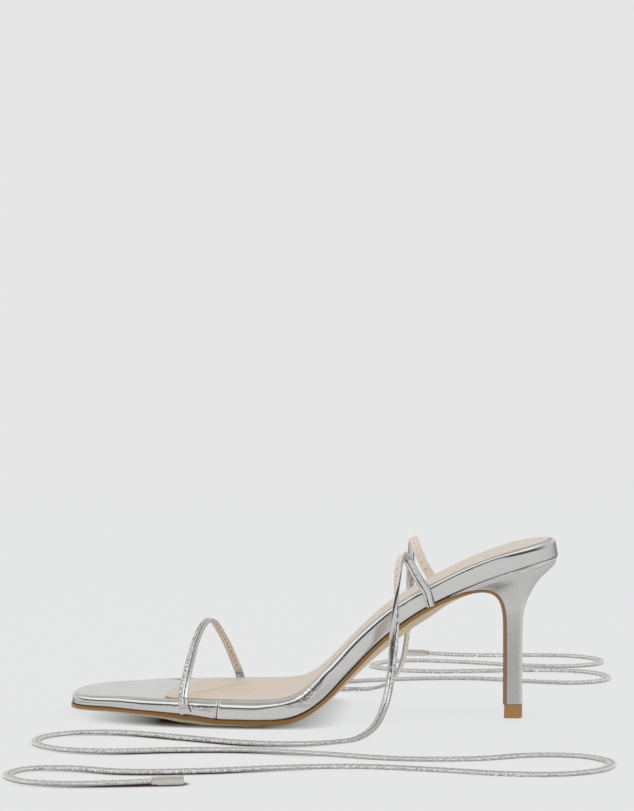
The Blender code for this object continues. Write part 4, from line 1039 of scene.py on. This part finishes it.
turn = np.radians(np.linspace(0.0, 90.0, 20))
straight = TOP_FRONT + (TOP_BACK - TOP_FRONT) * HEEL_STRAIGHT
x = np.concatenate([np.linspace(TOP_FRONT, straight, 12)[:-1],
                    straight + (TOP_BACK - straight) * np.sin(turn)])
keep = np.concatenate([np.ones(11), (1.0 - np.sin(turn) ** TOP_POWER) ** (1.0 / TOP_POWER)])
block = np.concatenate([np.stack([x, -TOP_HALF * keep], axis=1),
                        np.stack([x, TOP_HALF * keep], axis=1)[:-1][::-1]])
centre = np.array((0.5 * (TOP_FRONT + TOP_BACK), 0.0))
rise, draw = TOP_PROFILE.T[:, :, None, None]
block = centre + (block - centre) * np.clip(1.0 - draw / TOP_HALF, 0.0, 1.0)
block_points = np.concatenate([block, np.broadcast_to(rise, block.shape[:2] + (1,))], axis=-1)
block_faces = grid_faces(*block_points.shape[:2], closed=True)
top_piece = put_piece("top_piece_moulded", block_points, [block_faces],
                      [moulded_tan_plastic("moulded_tan_plastic")], sharp=50.0)
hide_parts("top_piece")


# Sock liner
# A thin sheet of beige leather glued on the footbed inside the rolled edge, over a little foam.
# Its front edge lies behind the toes and sweeps back, and it is left softly creased at the ball.

SOCK_FRONT, SOCK_CORNERS, SOCK_THICK, SOCK_INSET = 46.5, (4.0, 2.5), 0.9, 0.7
SOCK_SWEEP, SOCK_SWEEP_REACH = 4.8, 30.0
# Creases across the ball: along and y of the middle, angle, half length, width and depth
SOCK_CREASES = np.array((
    (66.0, -8.0, 62.0, 17.0, 1.6, 0.26), (71.0, -2.0, 58.0, 20.0, 1.9, 0.28),
    (77.0, 6.0, 66.0, 16.0, 1.7, 0.18), (61.0, 10.0, 75.0, 12.0, 1.6, 0.12),
    (88.0, -6.0, 80.0, 14.0, 2.4, 0.12),
))
SOCK_COLUMNS = 41

inner = pulled_in(plan, roll + SOCK_INSET)
start = int(np.searchsorted(stations, SOCK_FRONT + SOCK_CORNERS[0]))
near_edge, far_edge = inner[:len(stations)], inner[len(stations):][::-1]
turn = np.radians(np.linspace(90.0, 0.0, 16))


def front_corner(edge, radius, side):
    """Points round a front corner: a quarter circle drawn in from the sock's own edge."""
    x = SOCK_FRONT + radius * (1.0 - np.sin(turn))
    y = np.interp(x, edge[:, 0], edge[:, 1]) - side * radius * (1.0 - np.cos(turn))
    return np.stack([x, y], axis=1)


near_line = np.concatenate([front_corner(near_edge[1:], SOCK_CORNERS[0], -1.0), near_edge[start:]])
far_line = np.concatenate([front_corner(far_edge, SOCK_CORNERS[1], 1.0), far_edge[start - 1:],
                           near_edge[-1:]])
sock_rows = len(near_line)
part = np.linspace(1.0, 0.0, SOCK_COLUMNS)[1:-1, None]
front = near_line[0] * (1.0 - part) + far_line[0] * part
sock_plan = np.concatenate([near_line, far_line[:-1][::-1], front])
share = ramp(sock_plan[:, 1], near_line[0, 1], far_line[0, 1])
swept = ramp(sock_plan[:, 0], SOCK_FRONT + SOCK_SWEEP_REACH, SOCK_FRONT)
sock_plan[:, 0] += SOCK_SWEEP * share**1.5 * swept
# The side from its foot up: inset and height
sock_levels = np.array(((0.0, 0.0), (0.0, 0.35), (0.06, 0.62), (0.2, 0.82), (0.45, SOCK_THICK)))
sock_ring = pulled_in(sock_plan, sock_levels[:, :1])


def sock_relief(along, y):
    """Soft ridge with a trough beside it for each crease, fading to both of its ends."""
    at, at_y, turned, half, width, depth = SOCK_CREASES.T.reshape((6, -1) + (1,) * np.ndim(along))
    c, s = np.cos(np.radians(turned)), np.sin(np.radians(turned))
    run, off = (along - at) * c + (y - at_y) * s, (y - at_y) * c - (along - at) * s
    swell = bell(off, 0.0, width) - 0.7 * bell(off, 1.6 * width, width)
    return np.sum(depth * swell * np.exp(-(run / half) ** 4), axis=0)


def over_footbed(place, height, relief):
    """Points of the sock over the dished top of the footbed."""
    along = place[..., 0]
    top = smooth_column(SOLE, THICK, along) - dish_depth(along) + CLEAR
    creased = relief * sock_relief(along, place[..., 1])
    return over_line(SOLE, along, place[..., 1], top + height + creased)


def sock_sheet(ring):
    """Straight strips between the sock's two edges, with the ring's own points along its front."""
    near = ring[:sock_rows]
    far = ring[sock_rows - 1:2 * sock_rows - 1][::-1]
    part = np.linspace(0.0, 1.0, SOCK_COLUMNS)[None, :, None]
    sheet = near[:, None] * (1.0 - part) + far[:, None] * part
    sheet[0, 1:-1] = ring[2 * sock_rows - 1:][::-1]
    return sheet


sock_face = sock_sheet(sock_ring[-1])
rise = sock_levels[:, 1:]
sock_shell = (over_footbed(sock_ring, rise, (rise / SOCK_THICK) ** 2),
              over_footbed(sock_face, SOCK_THICK, 1.0),
              over_footbed(sock_sheet(sock_ring[0]), 0.0, 0.0))
# Painted shade along the sock's edge and in the troughs of its creases
rim_crease = np.array((1.0, 1.0, 1.0, 1.0, 0.6))[:, None]
face_crease = np.clip(-1.6 * sock_relief(sock_face[..., 0], sock_face[..., 1]), 0.0, 0.4)
sock_leather = leather_lining("beige_sock_leather", "#e0d3c4", "#d6c8b7", 0.7)
sock = put_piece("sock_liner_leather", *shell_mesh(sock_shell), [sock_leather],
                 values={"crease": over_shell(sock_shell, rim_crease, face_crease, 0.0)})
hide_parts("sock_liner")


# Studio
# A pale floor that fades into a pale room with one large soft light overhead. A dark line at the
# horizon and a bright zone over it, in front, are mirrored along the rolled edges of the silver.

ROOM = "#e6e6e6"
PAPER_GLOW = 0.695                      # how bright the paper is where nothing shades it
FLOOR_SIDES = 96
# Brightness of the room by height, from straight down at 0 to straight up at 1
ROOM_IN_FRONT = ((0.0, 0.76), (0.478, 0.72), (0.49, 0.03), (0.605, 0.03), (0.63, 1.25), (0.82, 1.3),
                 (0.87, 0.5), (0.94, 0.42), (1.0, 0.5))
ROOM_BEHIND = ((0.0, 0.76), (0.5, 0.76), (0.62, 0.74), (0.85, 0.66), (0.95, 0.6), (1.0, 0.5))
CAMERA_AT = (np.array((121.0, -1191.6, 204.7)) - MIDDLE) * MM
CAMERA_TURN = (math.radians(90.0 - 2.87), 0.0, math.radians(5.71))
FOCAL = 36.0 * 2570.2 / 811.0

turn = np.linspace(0.0, 2.0 * np.pi, FLOOR_SIDES, endpoint=False)
out = np.concatenate([[0.001], np.geomspace(0.05, 3.0, 28)])[:, None]
floor_spots = np.stack([out * np.cos(turn), out * np.sin(turn), 0.0 * out * turn], axis=-1)
floor_mesh = bpy.data.meshes.new("studio_floor")
floor_faces = grid_faces(*floor_spots.shape[:2], closed=True).tolist() + [list(range(FLOOR_SIDES))]
floor_mesh.from_pydata(floor_spots.reshape(-1, 3), [], floor_faces)
floor = bpy.data.objects.new("studio_floor", floor_mesh)
bpy.context.scene.collection.objects.link(floor)

# Matt paper with an even glow of its own. A painted shadow darkens that glow close under the
# sandal, most of all under the forefoot and less where the foil mirrors it, and the warm base
# colour shows in it. The paper fades away where the room begins.
paper, tree, shader, place = new_finish("matt_studio_paper")
fibre = add(tree, "TexNoise", {"Vector": place, "Scale": 1000.0 / 2.0, "Detail": 3.0})
tooth = add(tree, "Bump", {"Height": fibre.outputs["Fac"], "Distance": 0.02 * MM, "Strength": 0.3})
spot = add(tree, "SeparateXYZ", {0: place})
under = add(tree, "MapRange", {"Value": spot.outputs[0], "From Min": 0.05, "From Max": 0.03,
                               "To Max": 0.012}, interpolation_type="SMOOTHSTEP")
aside = add(tree, "Math", {0: spot.outputs[1]}, operation="ABSOLUTE")
close = add(tree, "MapRange", {"Value": aside.outputs[0], "From Min": 0.056, "From Max": 0.04},
            interpolation_type="SMOOTHSTEP")
reach = add(tree, "Math", {0: under.outputs[0], 1: close.outputs[0], 2: 0.0038},
            operation="MULTIPLY_ADD")
start = add(tree, "Math", {0: reach.outputs[0], 1: 6.0, 2: 0.657}, operation="MULTIPLY_ADD")
corner = add(tree, "AmbientOcclusion", {"Distance": reach.outputs[0]}, samples=8)
toe = add(tree, "MapRange", {"Value": spot.outputs[0], "From Min": -0.106, "From Max": -0.068,
                             "To Min": 0.68, "To Max": 0.0})
waist = add(tree, "MapRange", {"Value": spot.outputs[0], "From Min": -0.02, "From Max": 0.016,
                               "To Min": 0.0, "To Max": PAPER_GLOW})
glossy = add(tree, "LightPath").outputs["Is Glossy Ray"]
mirrored = add(tree, "Math", {0: glossy, 1: 0.6}, operation="MULTIPLY")
least = add(tree, "Math", {0: toe.outputs[0], 1: waist.outputs[0]}, operation="MAXIMUM")
least = add(tree, "Math", {0: least.outputs[0], 1: mirrored.outputs[0]}, operation="MAXIMUM")
glow = add(tree, "MapRange", {"Value": corner.outputs["AO"], "From Min": start.outputs[0],
                              "From Max": 1.0, "To Min": least.outputs[0], "To Max": PAPER_GLOW},
           interpolation_type="SMOOTHSTEP")
plug(tree, shader, {"Base Color": to_linear("#5c5249"), "Normal": tooth.outputs[0], "Roughness": 0.9,
                    "Specular IOR Level": 0.1, "Emission Color": (0.98, 1.013, 1.039, 1.0),
                    "Emission Strength": glow.outputs[0]})
away = add(tree, "VectorMath", {0: place}, operation="LENGTH")
gone = add(tree, "MapRange", {"Value": away.outputs["Value"], "From Min": 0.5, "From Max": 1.6},
           interpolation_type="SMOOTHSTEP")
clear = add(tree, "BsdfTransparent")
blend = add(tree, "MixShader", {0: gone.outputs[0], 1: shader.outputs[0], 2: clear.outputs[0]})
plug(tree, tree.nodes["Material Output"], {"Surface": blend.outputs[0]})
floor_mesh.materials.append(paper)

room = bpy.data.worlds.new("studio_room")
bpy.context.scene.world = room
room.use_nodes = True
tree = room.node_tree
gaze = add(tree, "SeparateXYZ", {0: add(tree, "TexCoord").outputs["Generated"]})
upward = add(tree, "MapRange", {"Value": gaze.outputs[2], "From Min": -1.0, "From Max": 1.0})
before, behind = (add(tree, "ValToRGB", {0: upward.outputs[0]},
                      stops=[(at, (grey, grey, grey, 1.0)) for at, grey in zone])
                  for zone in (ROOM_IN_FRONT, ROOM_BEHIND))
right = add(tree, "Math", {0: gaze.outputs[0], 1: 0.0}, operation="MAXIMUM")
side = add(tree, "Math", {0: right.outputs[0], 1: -0.25, 2: gaze.outputs[1]},
           operation="MULTIPLY_ADD")
facing = add(tree, "MapRange", {"Value": side.outputs[0], "From Min": -0.7, "From Max": 0.3},
             interpolation_type="SMOOTHSTEP")
around = add(tree, "Mix", {0: facing.outputs[0], 6: before.outputs[0], 7: behind.outputs[0]},
             data_type="RGBA")
seen = add(tree, "LightPath").outputs["Is Camera Ray"]
shown = add(tree, "Mix", {0: seen, 6: around.outputs[2], 7: to_linear(ROOM)}, data_type="RGBA")
plug(tree, tree.nodes["Background"], {"Color": shown.outputs[2], "Strength": 1.0})

# It only fills: what the foil mirrors is the room's own bright and dark zones
lamp = bpy.data.lights.new("soft_light_overhead", "AREA")
lamp.shape, lamp.size, lamp.size_y, lamp.energy = "RECTANGLE", 1.5, 1.0, 6.0
light = bpy.data.objects.new("soft_light_overhead", lamp)
light.location, light.rotation_euler = (-0.1, -0.15, 1.5), (math.radians(-6.0), 0.0, 0.0)
light.visible_glossy = False
bpy.context.scene.collection.objects.link(light)

lens = bpy.data.cameras.new("camera")
lens.sensor_fit, lens.sensor_width, lens.sensor_height, lens.lens = "VERTICAL", 36.0, 36.0, FOCAL
camera = bpy.data.objects.new("camera", lens)
camera.location, camera.rotation_euler = CAMERA_AT, CAMERA_TURN
bpy.context.scene.collection.objects.link(camera)
bpy.context.scene.camera = camera
bpy.context.scene.view_settings.view_transform = "Standard"
